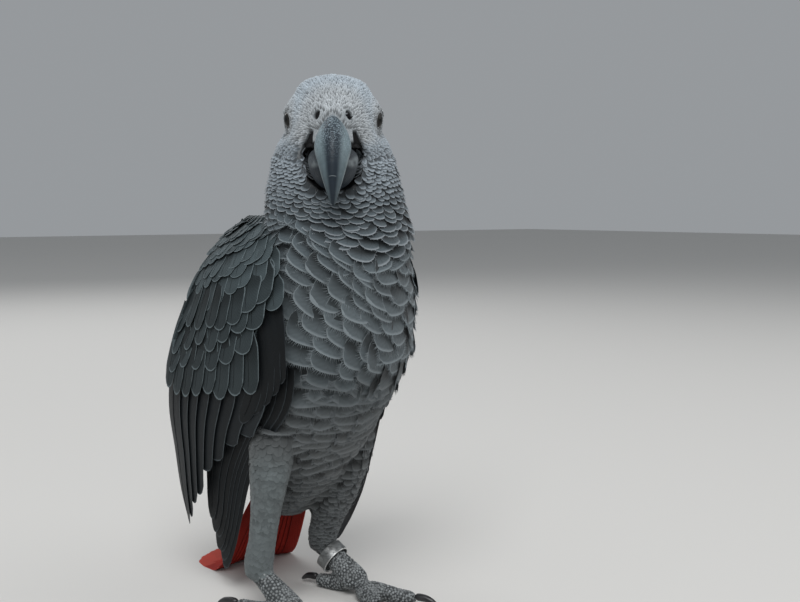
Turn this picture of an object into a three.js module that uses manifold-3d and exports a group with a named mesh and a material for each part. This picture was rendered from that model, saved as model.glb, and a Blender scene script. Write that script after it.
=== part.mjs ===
// A grey parrot (African grey, Congo form), life size, standing upright with its head turned to its right,
// both wings held a little off the body and its tail laid on the floor. Millimetres, +Z up, the body
// faces -Y, and +X is the bird's own left. Every piece is a closed solid, a thin gap from its neighbours.
import * as THREE from "three";
import { mergeVertices } from "three/addons/utils/BufferGeometryUtils.js";
import Module from "manifold-3d";

const wasm = await Module();
wasm.setup();

// ---- driving dimensions ----
const GAP = 0.35; // clearance between neighbouring solids
const CROWN_HEIGHT = 218.4; // top of the head above the floor
const HEAD = { x: -3, y: -18, turn: -34 }; // turn: degrees to the bird's left, so negative is right
const EYE = { radius: 5.2, apart: 28.4, forward: 2, height: 200.2 };
const CERE = { wide: 9.6, deep: 5.6, tall: 5.6, forward: 13.6, height: 200.5 };
const NECK_TOP = 183;
const NECK_FOOT = 152;
const RUMP_TOP = 62;
const VANE = 1.1; // thickness of a flight feather solid
const COVERT = 1.5; // thickness of a covert feather solid
const WING_LENGTH = 170;
const WING_BOW = 7; // how far a wing bulges away from the line between its edges
const TAIL = { feathersPerSide: 6, rootWidth: 9, endWidth: 24 }; // widths of one half
const RING = { inner: 6.1, outer: 6.8, height: 5.2, along: 0.34, sag: 0.6 };
const TOE_RADIUS = 3.6;
const CLAW_RADIUS = 1.8;

const COLOURS = {
  headGrey: 0xb9bcbd,
  neckGrey: 0x7d8387,
  bodyGrey: 0x8f9599,
  thighGrey: 0xa3a9a9,
  wingGrey: 0x4a5358,
  flightGrey: 0x2e363c,
  tailRed: 0x8c1f1c,
  bill: 0x2c3136,
  eye: 0x1c1b18,
  scale: 0x84898b,
  claw: 0x1a1a1b,
  ring: 0x9aa2a0,
};

const DEGREE = Math.PI / 180;
const UP = new THREE.Vector3(0, 0, 1);
const vec = (x, y, z) => new THREE.Vector3(x, y, z);
const mix = THREE.MathUtils.lerp;
const smooth = THREE.MathUtils.smoothstep;
const clamp = THREE.MathUtils.clamp;

// ---- solids from geometries ----
// The closed solid of a geometry, turned to face outwards.
function solidOf(geometry) {
  const bare = geometry.clone();
  for (const name of Object.keys(bare.attributes)) {
    if (name !== "position") bare.deleteAttribute(name);
  }
  const merged = mergeVertices(bare, 1e-4);
  const vertProperties = merged.attributes.position.array;
  const build = (triVerts) => new wasm.Manifold(new wasm.Mesh({ numProp: 3, vertProperties, triVerts }));
  const solid = build(new Uint32Array(merged.index.array));
  return solid.volume() > 0 ? solid : build(new Uint32Array(merged.index.array).reverse());
}

const without = (solid, ...cutters) => cutters.reduce((left, cutter) => left.subtract(cutter), solid);

// The largest separate body of a solid, for a cut that leaves slivers.
const mainBody = (solid) =>
  solid.decompose().reduce((most, next) => (next.volume() > most.volume() ? next : most));

// A box between two heights, wide enough to cut any piece.
function slab(low, high) {
  const box = new THREE.BoxGeometry(400, 400, high - low);
  box.translate(0, 0, (low + high) / 2);
  return solidOf(box);
}

const BELOW_FLOOR = slab(-50, 0);

// ---- lofts ----
// A smooth closed tube of oval sections along a spine. A station has its centre (at), its half width
// (wide), the depth of its front and back halves, and the turn of its width axis in degrees, which is left
// out for a tube that lies flat.
function loft(stations, { sides = 12, rings = 12, grow = 0, cap = 0.08, tail = cap } = {}) {
  const curveOf = (pick) => new THREE.CatmullRomCurve3(stations.map(pick), false, "catmullrom", 0.5);
  const spine = curveOf((s) => vec(...s.at));
  const sizes = curveOf((s) => vec(s.wide, s.front ?? s.wide, s.back ?? s.front ?? s.wide));
  const turns = curveOf((s) => vec(s.turn ?? 0, 0, 0));
  const flat = stations[0].turn === undefined;
  const shape = new THREE.SphereGeometry(1, sides, rings);
  const { position, uv } = shape.attributes;
  for (let i = 0; i < position.count; i++) {
    const even = 1 - uv.getY(i);
    const along = clamp(even - 0.1 * Math.sin(2 * Math.PI * even), 0, 1);
    const around = uv.getX(i) * 2 * Math.PI;
    const centre = spine.getPoint(along);
    const run = spine.getTangent(along);
    const turn = turns.getPoint(along).x * DEGREE;
    const across = flat ? vec(0, 0, 0).crossVectors(run, UP) : vec(Math.cos(turn), Math.sin(turn), 0);
    across.addScaledVector(run, -across.dot(run)).normalize();
    const front = vec(0, 0, 0).crossVectors(run, across);
    const size = sizes.getPoint(along);
    const fromEnd = Math.min(along / cap, (1 - along) / tail, 1);
    const round = Math.sqrt(Math.max(0, 1 - (1 - fromEnd) ** 2));
    const depth = Math.sin(around) > 0 ? size.y : size.z;
    centre.addScaledVector(across, (size.x + grow) * round * Math.cos(around));
    centre.addScaledVector(front, (depth + grow) * round * Math.sin(around));
    centre.addScaledVector(run, (along < 0.5 ? -grow : grow) * (1 - round));
    position.setXYZ(i, centre.x, centre.y, centre.z);
  }
  return solidOf(shape);
}

// ---- head and body ----
// A point given by its place on the head: to the bird's left, forward along the bill, and height above
// the floor.
function headPoint(left, forward, height) {
  const turn = HEAD.turn * DEGREE;
  return [
    HEAD.x + left * Math.cos(turn) + forward * Math.sin(turn),
    HEAD.y + left * Math.sin(turn) - forward * Math.cos(turn),
    height,
  ];
}

const headStation = (height, wide, front, back, forward = 0) => ({
  at: headPoint(0, forward, height),
  wide,
  front,
  back: back ?? front,
  turn: HEAD.turn,
});

// Crown, cheeks, neck, breast, belly and rump as one tube, which level cuts then divide.
const BODY_STATIONS = [
  headStation(CROWN_HEIGHT, 9, 6, 9),
  headStation(214, 13.6, 10.5, 14),
  headStation(208.5, 16.4, 15.2, 18.5),
  headStation(202, 17.8, 17.8, 21.5),
  headStation(194, 21.4, 18, 23.5),
  headStation(185.5, 24.4, 14.5, 25),
  { at: [-3, -18, 176], wide: 26.8, front: 17, back: 25, turn: -30 },
  { at: [-1.5, -17.5, 165], wide: 28.6, front: 22, back: 26, turn: -20 },
  { at: [0, -15, 151], wide: 30, front: 28, back: 28, turn: -8 },
  { at: [0.8, -10, 133], wide: 34.2, front: 34.5, back: 32, turn: 0 },
  { at: [1, -5, 115], wide: 36.2, front: 37, back: 34, turn: 0 },
  { at: [0.2, 2, 95], wide: 31, front: 32.4, back: 33, turn: 0 },
  { at: [-0.3, 10, 74], wide: 26, front: 27.4, back: 28, turn: 0 },
  { at: [0, 18, 54], wide: 21, front: 19.5, back: 21, turn: 0 },
  { at: [0, 26, 40], wide: 13, front: 12.5, back: 12, turn: 0 },
  { at: [0, 34, 31], wide: 8, front: 6, back: 6, turn: 0 },
];
const BODY_GRAIN = { sides: 20, rings: 25, cap: 0.065, tail: 0.09 };
const bodyTube = (grow = 0) => loft(BODY_STATIONS, { ...BODY_GRAIN, grow });

// The bare swelling over the bill's base that holds the nostrils.
function cere() {
  const swelling = new THREE.SphereGeometry(1, 10, 7);
  swelling.scale(CERE.wide, CERE.deep, CERE.tall).rotateZ(HEAD.turn * DEGREE);
  swelling.translate(...headPoint(0, CERE.forward, CERE.height));
  return solidOf(swelling);
}

// ---- bill and eyes ----
const billStation = (forward, height, wide, front, back = front) =>
  headStation(height, wide, front, back, forward);

const UPPER_BILL_STATIONS = [
  billStation(9, 194.5, 6.2, 6.4, 7.5),
  billStation(18, 194.8, 6.9, 7.4, 8.2),
  billStation(25.2, 191.4, 7, 7.6, 7.2),
  billStation(29.6, 185, 6.2, 5.8, 5.2),
  billStation(31.2, 178, 4.4, 4),
  billStation(30.8, 172, 2.6, 2.4),
  billStation(29, 166.6, 1, 1),
];
const UPPER_BILL_GRAIN = { sides: 12, rings: 11, cap: 0.1, tail: 0.06 };
const upperBill = (grow = 0) => loft(UPPER_BILL_STATIONS, { ...UPPER_BILL_GRAIN, grow });

const LOWER_BILL_STATIONS = [
  billStation(4, 186.5, 8.8, 4, 6),
  billStation(11, 185, 10.6, 4.8, 9.4),
  billStation(17.5, 182, 10.2, 4, 9.8),
  billStation(23, 179.4, 7.6, 2.6, 6.6),
  billStation(26.5, 179.4, 3.6, 1.6, 3),
];
const LOWER_BILL_GRAIN = { sides: 12, rings: 8, cap: 0.12, tail: 0.14 };
const lowerBill = (grow = 0) => loft(LOWER_BILL_STATIONS, { ...LOWER_BILL_GRAIN, grow });

function eyeball(side, grow = 0) {
  const ball = new THREE.SphereGeometry(EYE.radius + grow, 10, 8);
  ball.translate(...headPoint((side * EYE.apart) / 2, EYE.forward, EYE.height));
  return solidOf(ball);
}

// ---- wings ----
// The edges of a wing from shoulder to tip, outboard being away from the body on either side.
const LEADING = {
  right: [
    [27, -9, 160],
    [32, -20, 144],
    [34, -27, 130],
    [33.5, -31, 114],
    [31, -26, 94],
    [32, -9, 77],
    [32, 6, 58],
    [32, 14, 36],
    [31, 27, 10],
  ],
  left: [
    [27, -9, 160],
    [33, -17, 144],
    [35.5, -18, 130],
    [36.8, -17, 114],
    [36.4, -11, 96],
    [35.5, -4, 79],
    [35, 2, 60],
    [33, 8, 38],
    [33, 26, 12],
  ],
};
const TRAILING = [
  [22, 21, 161],
  [31, 27, 150],
  [37, 32, 138],
  [41.5, 38, 119],
  [45.5, 43, 98],
  [45.5, 46, 80],
  [42, 49, 61],
  [38.5, 52, 42],
  [35, 53, 27],
];

// The inner edge of the shoulder feathers, beside the spine.
const BESIDE_SPINE = [
  [14, 10, 156],
  [12, 16, 149],
  [9, 21, 140],
  [9, 26, 129],
  [10, 30, 117],
];

// A wing as a bowed sheet between its edges: s runs from shoulder to tip and c from the leading edge to
// the trailing one, and lift is the height above the sheet.
function wingSheet(name, side) {
  const edge = (points) => new THREE.CatmullRomCurve3(points.map(([x, y, z]) => vec(side * x, y, z)));
  const leading = edge(LEADING[name]);
  const trailing = edge(TRAILING);
  const flatPoint = (s, c) => {
    const along = clamp(s, 0, 1);
    const spot = leading.getPoint(along).lerp(trailing.getPoint(along), c);
    const run = leading.getTangent(along).lerp(trailing.getTangent(along), c);
    const beyond = run.multiplyScalar(WING_LENGTH * (s - along));
    const fade = (1 - 0.7 * along) * Math.min(1, 0.3 + 3 * along);
    const bow = WING_BOW * Math.sin(Math.PI * clamp(c, 0, 1)) * fade;
    return spot.add(beyond).add(vec(side * bow, -0.3 * bow, 0));
  };
  const point = (s, c, lift) => {
    const step = 0.02;
    const down = flatPoint(s + step, c).sub(flatPoint(s - step, c));
    const back = flatPoint(s, c + step).sub(flatPoint(s, c - step));
    const normal = vec(0, 0, 0).crossVectors(back, down).multiplyScalar(-side).normalize();
    return flatPoint(s, c).addScaledVector(normal, lift);
  };
  return point;
}

// A row of feathers side by side as one solid: each has a rounded tip and laps over the next one like a
// shingle.
function featherRow(point, feathers, grow = 0) {
  const { count, start, tip, from, to, lift, thick, notch = 0.05, rows = 3, perFeather = 3 } = feathers;
  const plate = new THREE.BoxGeometry(1, 1, 1, count * perFeather, rows, 1);
  const { position } = plate.attributes;
  const margin = grow / 60;
  for (let i = 0; i < position.count; i++) {
    const across = position.getX(i) + 0.5;
    const along = 0.5 - position.getY(i);
    const step = Math.round(across * count * perFeather) % perFeather;
    const end = tip(across) - (step === 0 ? notch : 0) + margin;
    const s = mix(start - margin, end, along);
    const c = mix(from(along) - margin, to(along) + margin, across);
    const lap = 0.35 * step * along;
    const above = position.getZ(i) > 0 ? thick / 2 + grow : -thick / 2 - grow;
    const spot = point(s, c, lift + lap + above);
    position.setXYZ(i, spot.x, spot.y, spot.z);
  }
  return solidOf(plate);
}

const ARM_END = 0.44; // where the arm stops and the flight feathers start
const FEATHER_START = ARM_END + 0.0028;
const GREATER_COVERTS = {
  count: 7,
  start: FEATHER_START,
  tip: (across) => 0.51 + 0.14 * Math.sin(Math.PI * mix(0.1, 0.75, across)),
  from: (along) => mix(0.2, 0.24, along),
  to: () => 1,
  lift: 0.8,
  thick: COVERT,
  rows: 2,
};
const SECONDARIES = {
  count: 9,
  start: FEATHER_START,
  tip: (across) => mix(0.8, 1, smooth(across, 0, 0.9)),
  from: (along) => mix(0.3, 0.36, along),
  to: (along) => mix(0.97, 1, along),
  lift: -1.6,
  thick: VANE,
};
const PRIMARIES = {
  count: 8,
  start: FEATHER_START,
  tip: (across) => 1.02 - 0.1 * across,
  from: (along) => mix(0.06, -0.04, along),
  to: (along) => mix(0.4, 0.62, along),
  lift: -4.8,
  thick: VANE,
  perFeather: 2,
};
const ALULA = {
  count: 3,
  start: 0.24,
  tip: () => 0.63,
  from: () => 0,
  to: () => 0.27,
  lift: -2.5,
  thick: 1.2,
};

// The shoulder feathers, which bridge the back and the wing's trailing edge and end in a row of rounded
// tips.
function scapulars(name, side) {
  const edge = (points) => new THREE.CatmullRomCurve3(points.map(([x, y, z]) => vec(side * x, y, z)));
  const spine = edge(BESIDE_SPINE);
  const trailing = edge(TRAILING);
  const plate = new THREE.BoxGeometry(1, 1, 1, 9, 4, 1);
  const { position } = plate.attributes;
  for (let i = 0; i < position.count; i++) {
    const across = position.getX(i) + 0.5;
    const along = 0.5 - position.getY(i);
    const step = Math.round(across * 9) % 3;
    const reach = (0.86 + 0.14 * Math.sin(Math.PI * across) - (step === 0 ? 0.05 : 0)) * along;
    const bulge = 5 * Math.sin(Math.PI * across) * Math.sin(Math.PI * mix(0.15, 0.9, along));
    const spot = spine.getPoint(reach).lerp(trailing.getPoint(mix(0.06, 0.46, reach)), 0.97 * across);
    const depth = position.getZ(i) > 0 ? 0 : mix(5, 1.2, along);
    const out = vec(side * 0.45, 0.87, 0.2).normalize();
    spot.addScaledVector(out, bulge - depth);
    position.setXYZ(i, spot.x, spot.y, spot.z);
  }
  return solidOf(plate);
}

// The arm under its small covert feathers: a thick sheet that thins towards the flight feathers.
function arm(point, grow = 0) {
  const plate = new THREE.BoxGeometry(1, 1, 1, 6, 6, 1);
  const { position } = plate.attributes;
  const edge = grow / 60;
  for (let i = 0; i < position.count; i++) {
    const along = 0.5 - position.getY(i);
    const across = position.getX(i) + 0.5;
    const s = mix(-edge, ARM_END + edge, along);
    const c = mix(mix(0.02, 0.2, smooth(along, 0.3, 0.9)) - edge, 1 + edge, across);
    const rim = Math.min(1, 5 * Math.min(across, 1 - across) + 0.2, 5 * along + 0.2);
    const top = 1 + 2.2 * rim * (1 - along) + grow;
    const under = -mix(8, 4, smooth(along, 0, 1)) * rim - 0.6 - grow;
    const spot = point(s, c, position.getZ(i) > 0 ? top : under);
    position.setXYZ(i, spot.x, spot.y, spot.z);
  }
  return solidOf(plate);
}

function wing(name, side) {
  const point = wingSheet(name, side);
  const row = (feathers, grow = 0) => featherRow(point, feathers, grow);
  const body = bodyTube(GAP);
  const flank = [body, thigh(LEGS[name], GAP)];
  return {
    scapulars: without(scapulars(name, side), body, arm(point, GAP), row(GREATER_COVERTS, GAP)),
    arm: without(arm(point), body),
    coverts: without(row(GREATER_COVERTS), body),
    secondaries: without(row(SECONDARIES), ...flank),
    primaries: without(row(PRIMARIES), ...flank),
    alula: without(row(ALULA), body, arm(point, GAP)),
  };
}

// ---- tail ----
// The tail comes down behind the rump and its end lies on the floor.
const TAIL_LINE = new THREE.CatmullRomCurve3([
  vec(0, 30, 48),
  vec(0, 38, 34),
  vec(0, 46, 20),
  vec(0, 55, 6.5),
  vec(0, 65, 0.4),
  vec(0, 75.5, 0.4),
  vec(0, 86, 0.4),
]);

function tailSide(side) {
  const count = TAIL.feathersPerSide;
  const perFeather = 2;
  const plate = new THREE.BoxGeometry(1, 1, 1, count * perFeather, 6, 1);
  const { position } = plate.attributes;
  for (let i = 0; i < position.count; i++) {
    const across = position.getX(i) + 0.5;
    const along = 0.5 - position.getY(i);
    const place = across * count;
    const step = Math.round(across * count * perFeather) % perFeather;
    const reach = 0.98 - 0.02 * place - (step === 0 ? 0.035 : 0);
    const t = along * reach;
    const centre = TAIL_LINE.getPoint(t);
    const normal = vec(1, 0, 0).cross(TAIL_LINE.getTangent(t));
    const out = GAP / 2 + across * mix(TAIL.rootWidth, TAIL.endWidth, t);
    const above = position.getZ(i) > 0 ? VANE / 2 + 0.25 * step : -VANE / 2;
    centre.addScaledVector(normal, above - 0.9 * across * (1 - t));
    centre.add(vec(side * out, -3 * across * across * t, 0));
    position.setXYZ(i, centre.x, centre.y, Math.max(centre.z, above > 0 ? 0.9 * VANE : 0));
  }
  return without(solidOf(plate), bodyTube(GAP), BELOW_FLOOR);
}

// ---- legs and feet ----
const LEGS = {
  right: {
    thigh: [
      { at: [-19, 0, 84], wide: 12, front: 14, turn: 0 },
      { at: [-24.5, -3, 62], wide: 9, front: 10.5, turn: 0 },
      { at: [-26, -1.5, 44], wide: 6.8, front: 7.4, turn: 0 },
      { at: [-27, 0.2, 30], wide: 6.3, front: 6.6, turn: 0 },
      { at: [-28, 1.8, 20], wide: 6.8, front: 7, turn: 0 },
      { at: [-28, 0.5, 14], wide: 5.2, front: 5.6, turn: 0 },
    ],
    ankle: [-28, 2, 18],
    foot: [-23.5, -15, 7.6],
    toes: [
      { name: "hallux", heading: 150, length: 17, claw: 9 },
      { name: "inner", heading: 8, length: 21, claw: 9 },
      { name: "middle", heading: -22, length: 29, claw: 11 },
      { name: "outer", heading: 203, length: 26, claw: 10 },
    ],
  },
  left: {
    thigh: [
      { at: [16, 5, 82], wide: 13, front: 15, turn: 0 },
      { at: [17.5, 5, 60], wide: 11, front: 12, turn: 0 },
      { at: [15, 7.5, 44], wide: 9.4, front: 9.6, turn: 0 },
      { at: [12, 11.3, 31], wide: 7.6, front: 7.8, turn: 0 },
      { at: [10, 13.2, 21], wide: 6.8, front: 7, turn: 0 },
      { at: [10, 12.2, 15], wide: 5.2, front: 5.6, turn: 0 },
    ],
    ankle: [10, 13, 18.5],
    foot: [15.5, -3, 7.8],
    toes: [
      { name: "hallux", heading: 203, length: 18, claw: 8 },
      { name: "inner", heading: -8, length: 20, claw: 9 },
      { name: "middle", heading: 27, length: 27, claw: 10 },
      { name: "outer", heading: 158, length: 24, claw: 10 },
    ],
  },
};

const thigh = (leg, grow = 0) => loft(leg.thigh, { sides: 10, rings: 9, grow, cap: 0.15, tail: 0.12 });

const shank = ({ ankle, foot }, grow = 0) => {
  const [x, y, z] = foot;
  const middle = vec(...ankle).lerp(vec(...foot), 0.5);
  return loft(
    [
      { at: ankle, wide: 4.6, front: 4.6, turn: 0 },
      { at: middle.toArray(), wide: 4.9, front: 4.7, turn: 0 },
      { at: [x, y, z - 0.8], wide: 6.6, front: 5.6, turn: 0 },
      { at: [x, y - 5, z - 2.8], wide: 6.4, front: 3.8, turn: 0 },
    ],
    { sides: 8, rings: 6, grow, cap: 0.12, tail: 0.2 },
  );
};

// Where a toe is at a distance from its root: it starts under the foot's ball and runs out along its
// heading.
function toePoint({ foot }, { heading }, reach, height) {
  const angle = heading * DEGREE;
  const rear = Math.cos(angle) < 0;
  const [x, y] = foot;
  const start = rear ? 1.5 : 2.6;
  return [
    x + (start + reach) * Math.sin(angle),
    y + (rear ? 1 : -4) - reach * Math.cos(angle),
    height,
  ];
}

const toe = (leg, digit, grow = 0) => {
  const station = (share, height, size) => ({
    at: toePoint(leg, digit, share * digit.length, height),
    wide: TOE_RADIUS * size,
  });
  const stations = [
    station(0.08, 4.1, 1),
    station(0.35, 3.5, 1.02),
    station(0.7, 2.9, 0.9),
    station(1, 2.7, 0.86),
  ];
  return loft(stations, { sides: 8, rings: 5, grow, cap: 0.14 });
};

const claw = (leg, digit) => {
  const station = (share, height, size) => ({
    at: toePoint(leg, digit, digit.length + share * digit.claw, height),
    wide: CLAW_RADIUS * size,
  });
  const stations = [
    station(-0.2, 3.7, 1),
    station(0.32, 4.3, 0.95),
    station(0.72, 3.1, 0.66),
    station(1, 1, 0.26),
  ];
  return loft(stations, { sides: 6, rings: 4, cap: 0.1 });
};

// The closed metal ring that hangs round the left shank.
function ring({ ankle, foot }) {
  const half = RING.height / 2;
  const corners = [
    [RING.inner, -half],
    [RING.outer, -half],
    [RING.outer, half],
    [RING.inner, half],
    [RING.inner, -half],
  ];
  const band = new THREE.LatheGeometry(corners.map(([r, h]) => new THREE.Vector2(r, h)), 18);
  const centre = vec(...ankle).lerp(vec(...foot), RING.along).sub(vec(0, 0, RING.sag));
  const axis = vec(...ankle).sub(vec(...foot)).normalize();
  band.applyQuaternion(new THREE.Quaternion().setFromUnitVectors(vec(0, 1, 0), axis));
  band.translate(centre.x, centre.y, centre.z);
  return solidOf(band);
}

// ---- assembly ----
const group = new THREE.Group();

function addNode(name, solid, colour, roughness = 0.85, metalness = 0) {
  const { vertProperties, triVerts } = mainBody(solid).getMesh();
  const geometry = new THREE.BufferGeometry();
  geometry.setAttribute("position", new THREE.BufferAttribute(vertProperties, 3));
  geometry.setIndex(new THREE.BufferAttribute(triVerts, 1));
  const material = new THREE.MeshStandardMaterial({ color: colour, roughness, metalness });
  const mesh = new THREE.Mesh(geometry, material);
  mesh.name = name;
  group.add(mesh);
}

function addBody() {
  const holes = [upperBill(GAP), lowerBill(GAP), eyeball(1, GAP), eyeball(-1, GAP)];
  const tube = bodyTube();
  const between = (low, high) => slab(low + GAP / 2, high - GAP / 2);
  const head = without(tube.add(cere()), ...holes).intersect(between(NECK_TOP, 300));
  addNode("head", head, COLOURS.headGrey);
  addNode("neck", without(tube, ...holes).intersect(between(NECK_FOOT, NECK_TOP)), COLOURS.neckGrey);
  addNode("trunk", tube.intersect(between(RUMP_TOP, NECK_FOOT)), COLOURS.bodyGrey);
  addNode("rump", tube.intersect(between(0, RUMP_TOP)), COLOURS.bodyGrey);
  addNode("bill_upper", upperBill(), COLOURS.bill, 0.4);
  addNode("bill_lower", without(lowerBill(), upperBill(GAP)), COLOURS.bill, 0.45);
  addNode("eye_right", eyeball(-1), COLOURS.eye, 0.1);
  addNode("eye_left", eyeball(1), COLOURS.eye, 0.1);
}

function addWing(name, side) {
  for (const [part, solid] of Object.entries(wing(name, side))) {
    const flight = ["secondaries", "primaries", "alula"].includes(part);
    const colour = flight ? COLOURS.flightGrey : COLOURS.wingGrey;
    addNode(`wing_${name}_${part}`, solid, colour);
  }
}

function addLeg(name, leg) {
  const foot = shank(leg, GAP);
  addNode(`thigh_${name}`, without(thigh(leg), bodyTube(GAP), foot), COLOURS.thighGrey);
  addNode(`shank_${name}`, shank(leg).subtract(BELOW_FLOOR), COLOURS.scale);
  const taken = [foot];
  for (const digit of leg.toes) {
    const grown = toe(leg, digit, GAP);
    const cut = without(toe(leg, digit), ...taken, BELOW_FLOOR);
    addNode(`toe_${name}_${digit.name}`, cut, COLOURS.scale);
    const nail = without(claw(leg, digit), grown, BELOW_FLOOR);
    addNode(`claw_${name}_${digit.name}`, nail, COLOURS.claw, 0.4);
    taken.push(grown);
  }
}

// Moves the bird so that the middle of its footprint's box is the origin, on the floor.
function centreOnFloor(object) {
  const box = new THREE.Box3().setFromObject(object);
  const centre = box.getCenter(vec(0, 0, 0));
  object.position.set(-centre.x, -centre.y, -box.min.z);
}

addBody();
addWing("right", -1);
addWing("left", 1);
addNode("tail_right", tailSide(-1), COLOURS.tailRed);
addNode("tail_left", tailSide(1), COLOURS.tailRed);
addLeg("right", LEGS.right);
addLeg("left", LEGS.left);
addNode("leg_ring", ring(LEGS.left), COLOURS.ring, 0.35, 0.8);
centreOnFloor(group);

export default group;
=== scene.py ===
import math

import bmesh
import bpy
import numpy as np
from bpy.props import FloatProperty, FloatVectorProperty, PointerProperty
from mathutils import Matrix, Vector
from mathutils.bvhtree import BVHTree
from mathutils.kdtree import KDTree


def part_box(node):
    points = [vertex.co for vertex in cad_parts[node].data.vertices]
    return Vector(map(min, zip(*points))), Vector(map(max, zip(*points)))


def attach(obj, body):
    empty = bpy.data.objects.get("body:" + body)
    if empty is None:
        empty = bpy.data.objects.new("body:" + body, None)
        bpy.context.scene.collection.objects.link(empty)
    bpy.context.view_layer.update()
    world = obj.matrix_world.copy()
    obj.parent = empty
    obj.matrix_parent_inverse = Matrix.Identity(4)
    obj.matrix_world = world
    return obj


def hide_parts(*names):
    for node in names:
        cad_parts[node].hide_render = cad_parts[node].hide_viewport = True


bl_info = {
    "name": "Grey Parrot",
    "version": (1, 0, 0),
    "blender": (4, 5, 0),
    "location": "3D View > Sidebar > Parrot",
    "description": "Plumage, skin, horn and metal of a life-size grey parrot",
    "category": "Add Mesh",
}

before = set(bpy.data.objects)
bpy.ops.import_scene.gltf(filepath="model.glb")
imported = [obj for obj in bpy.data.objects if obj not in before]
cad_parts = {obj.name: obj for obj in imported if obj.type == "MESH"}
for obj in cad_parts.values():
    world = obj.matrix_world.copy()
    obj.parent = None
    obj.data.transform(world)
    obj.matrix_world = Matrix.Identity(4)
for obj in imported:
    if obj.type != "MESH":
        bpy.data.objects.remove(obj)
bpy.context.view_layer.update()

# ---- measures, in metres and in the frame's axes: +Z up, the body faces -Y, +X is the bird's left ----
MM = 0.001
UP = Vector((0, 0, 1))
SIDES = {"right": -1, "left": 1}
DIGITS = ("hallux", "inner", "middle", "outer")


def node_middle(name):
    low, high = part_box(name)
    return (low + high) / 2


EYES = {name: node_middle("eye_" + name) for name in SIDES}
EYE_RADIUS = (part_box("eye_left")[1].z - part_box("eye_left")[0].z) / 2
EYES_MIDDLE = (EYES["left"] + EYES["right"]) / 2
HEAD_LEFT = (EYES["left"] - EYES["right"]).normalized()
HEAD_FORWARD = HEAD_LEFT.cross(UP)
HEAD_TURN = math.atan2(HEAD_FORWARD.x, -HEAD_FORWARD.y)  # 0 looks straight on and more to the bird's left
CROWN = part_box("head")[1].z
NECK_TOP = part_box("head")[0].z
NECK_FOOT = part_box("neck")[0].z
RUMP_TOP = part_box("trunk")[0].z
# The middle of the trunk's footprint, from which the wings' and the tail's own measures are taken.
BODY_AXIS = EYES_MIDDLE + Vector((4.1, 19.7, -200.2)) * MM


def head_point(left, forward, height):
    """A place on the head: to the bird's left and forward of the line between the eyes, and above the floor."""
    place = EYES_MIDDLE + HEAD_LEFT * left + HEAD_FORWARD * forward
    return Vector((place.x, place.y, height))


BILL_ROOT = head_point(0, 12 * MM, 192 * MM)
WING_LENGTH = 170 * MM
WING_BOW = 7 * MM
ARM_END = 0.44  # the share of a wing's length at which the arm stops


# ---- small sums ----
def ramp(low, high, value):
    """0 below low, 1 above high and smooth between them."""
    share = np.clip((np.asarray(value, float) - low) / (high - low), 0, 1)
    return share * share * (3 - 2 * share)


def blend(low, high, share):
    return low + (high - low) * share


def unit(vectors):
    vectors = np.asarray(vectors, float)
    return vectors / np.maximum(np.linalg.norm(vectors, axis=-1, keepdims=True), 1e-12)


def smooth_path(points):
    """A curve through the points, as a function of the share of the way along them."""
    points = np.array(points, float)
    padded = np.vstack([2 * points[0] - points[1], points, 2 * points[-1] - points[-2]])
    last = len(points) - 1

    def at(share):
        place = np.clip(share, 0, 1) * last
        first = np.minimum(np.asarray(place).astype(int), last - 1)
        t = np.asarray(place - first)[..., None]
        a, b, c, d = (padded[first + k] for k in range(4))
        return b + 0.5 * t * (c - a + t * (2 * a - 5 * b + 4 * c - d + t * (3 * (b - c) + d - a)))

    return at


# ---- meshes ----
def new_object(name, mesh):
    piece = bpy.data.objects.new(name, mesh)
    bpy.context.scene.collection.objects.link(piece)
    return piece


def finish_piece(piece, material, replaces=(), sharp=40):
    """Gives a piece its finish and its place on the bird."""
    mesh = piece.data
    mesh.materials.clear()
    mesh.materials.append(material)
    mesh.shade_smooth()
    mesh.set_sharp_from_angle(angle=math.radians(sharp))
    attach(piece, "root")
    if replaces:
        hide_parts(*replaces)
    return piece


def piece_from(name, bm, material, replaces=(), sharp=40, levels=0):
    """A finished piece from a bmesh, with its faces turned outwards."""
    bmesh.ops.recalc_face_normals(bm, faces=bm.faces)
    mesh = bpy.data.meshes.new(name)
    bm.to_mesh(mesh)
    bm.free()
    piece = new_object(name, mesh)
    if levels:
        subdivide = piece.modifiers.new("smooth form", "SUBSURF")
        subdivide.levels = levels
        subdivide.render_levels = levels
    return finish_piece(piece, material, replaces, sharp)


def merged_copy(*names):
    """A bmesh with copies of these solids, each one's loose triangles joined up."""
    bm = bmesh.new()
    for name in names:
        bm.from_mesh(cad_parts[name].data)
    bmesh.ops.remove_doubles(bm, verts=bm.verts, dist=0.02 * MM)
    return bm


def arrays_of(mesh):
    """A mesh's vertices, its triangles and its vertices' normals."""
    places = np.zeros(len(mesh.vertices) * 3)
    mesh.vertices.foreach_get("co", places)
    normals = np.zeros(len(mesh.vertices) * 3)
    mesh.vertex_normals.foreach_get("vector", normals)
    mesh.calc_loop_triangles()
    triangles = np.zeros(len(mesh.loop_triangles) * 3, int)
    mesh.loop_triangles.foreach_get("vertices", triangles)
    return places.reshape(-1, 3), triangles.reshape(-1, 3), normals.reshape(-1, 3)


def tag(mesh, name, values):
    """Stores a number or three numbers for each vertex, for the mesh's material to read."""
    values = np.asarray(values, np.float32)
    if values.ndim == 1:
        mesh.attributes.new(name, "FLOAT", "POINT").data.foreach_set("value", values)
    else:
        mesh.attributes.new(name, "FLOAT_VECTOR", "POINT").data.foreach_set("vector", values.ravel())


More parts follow.
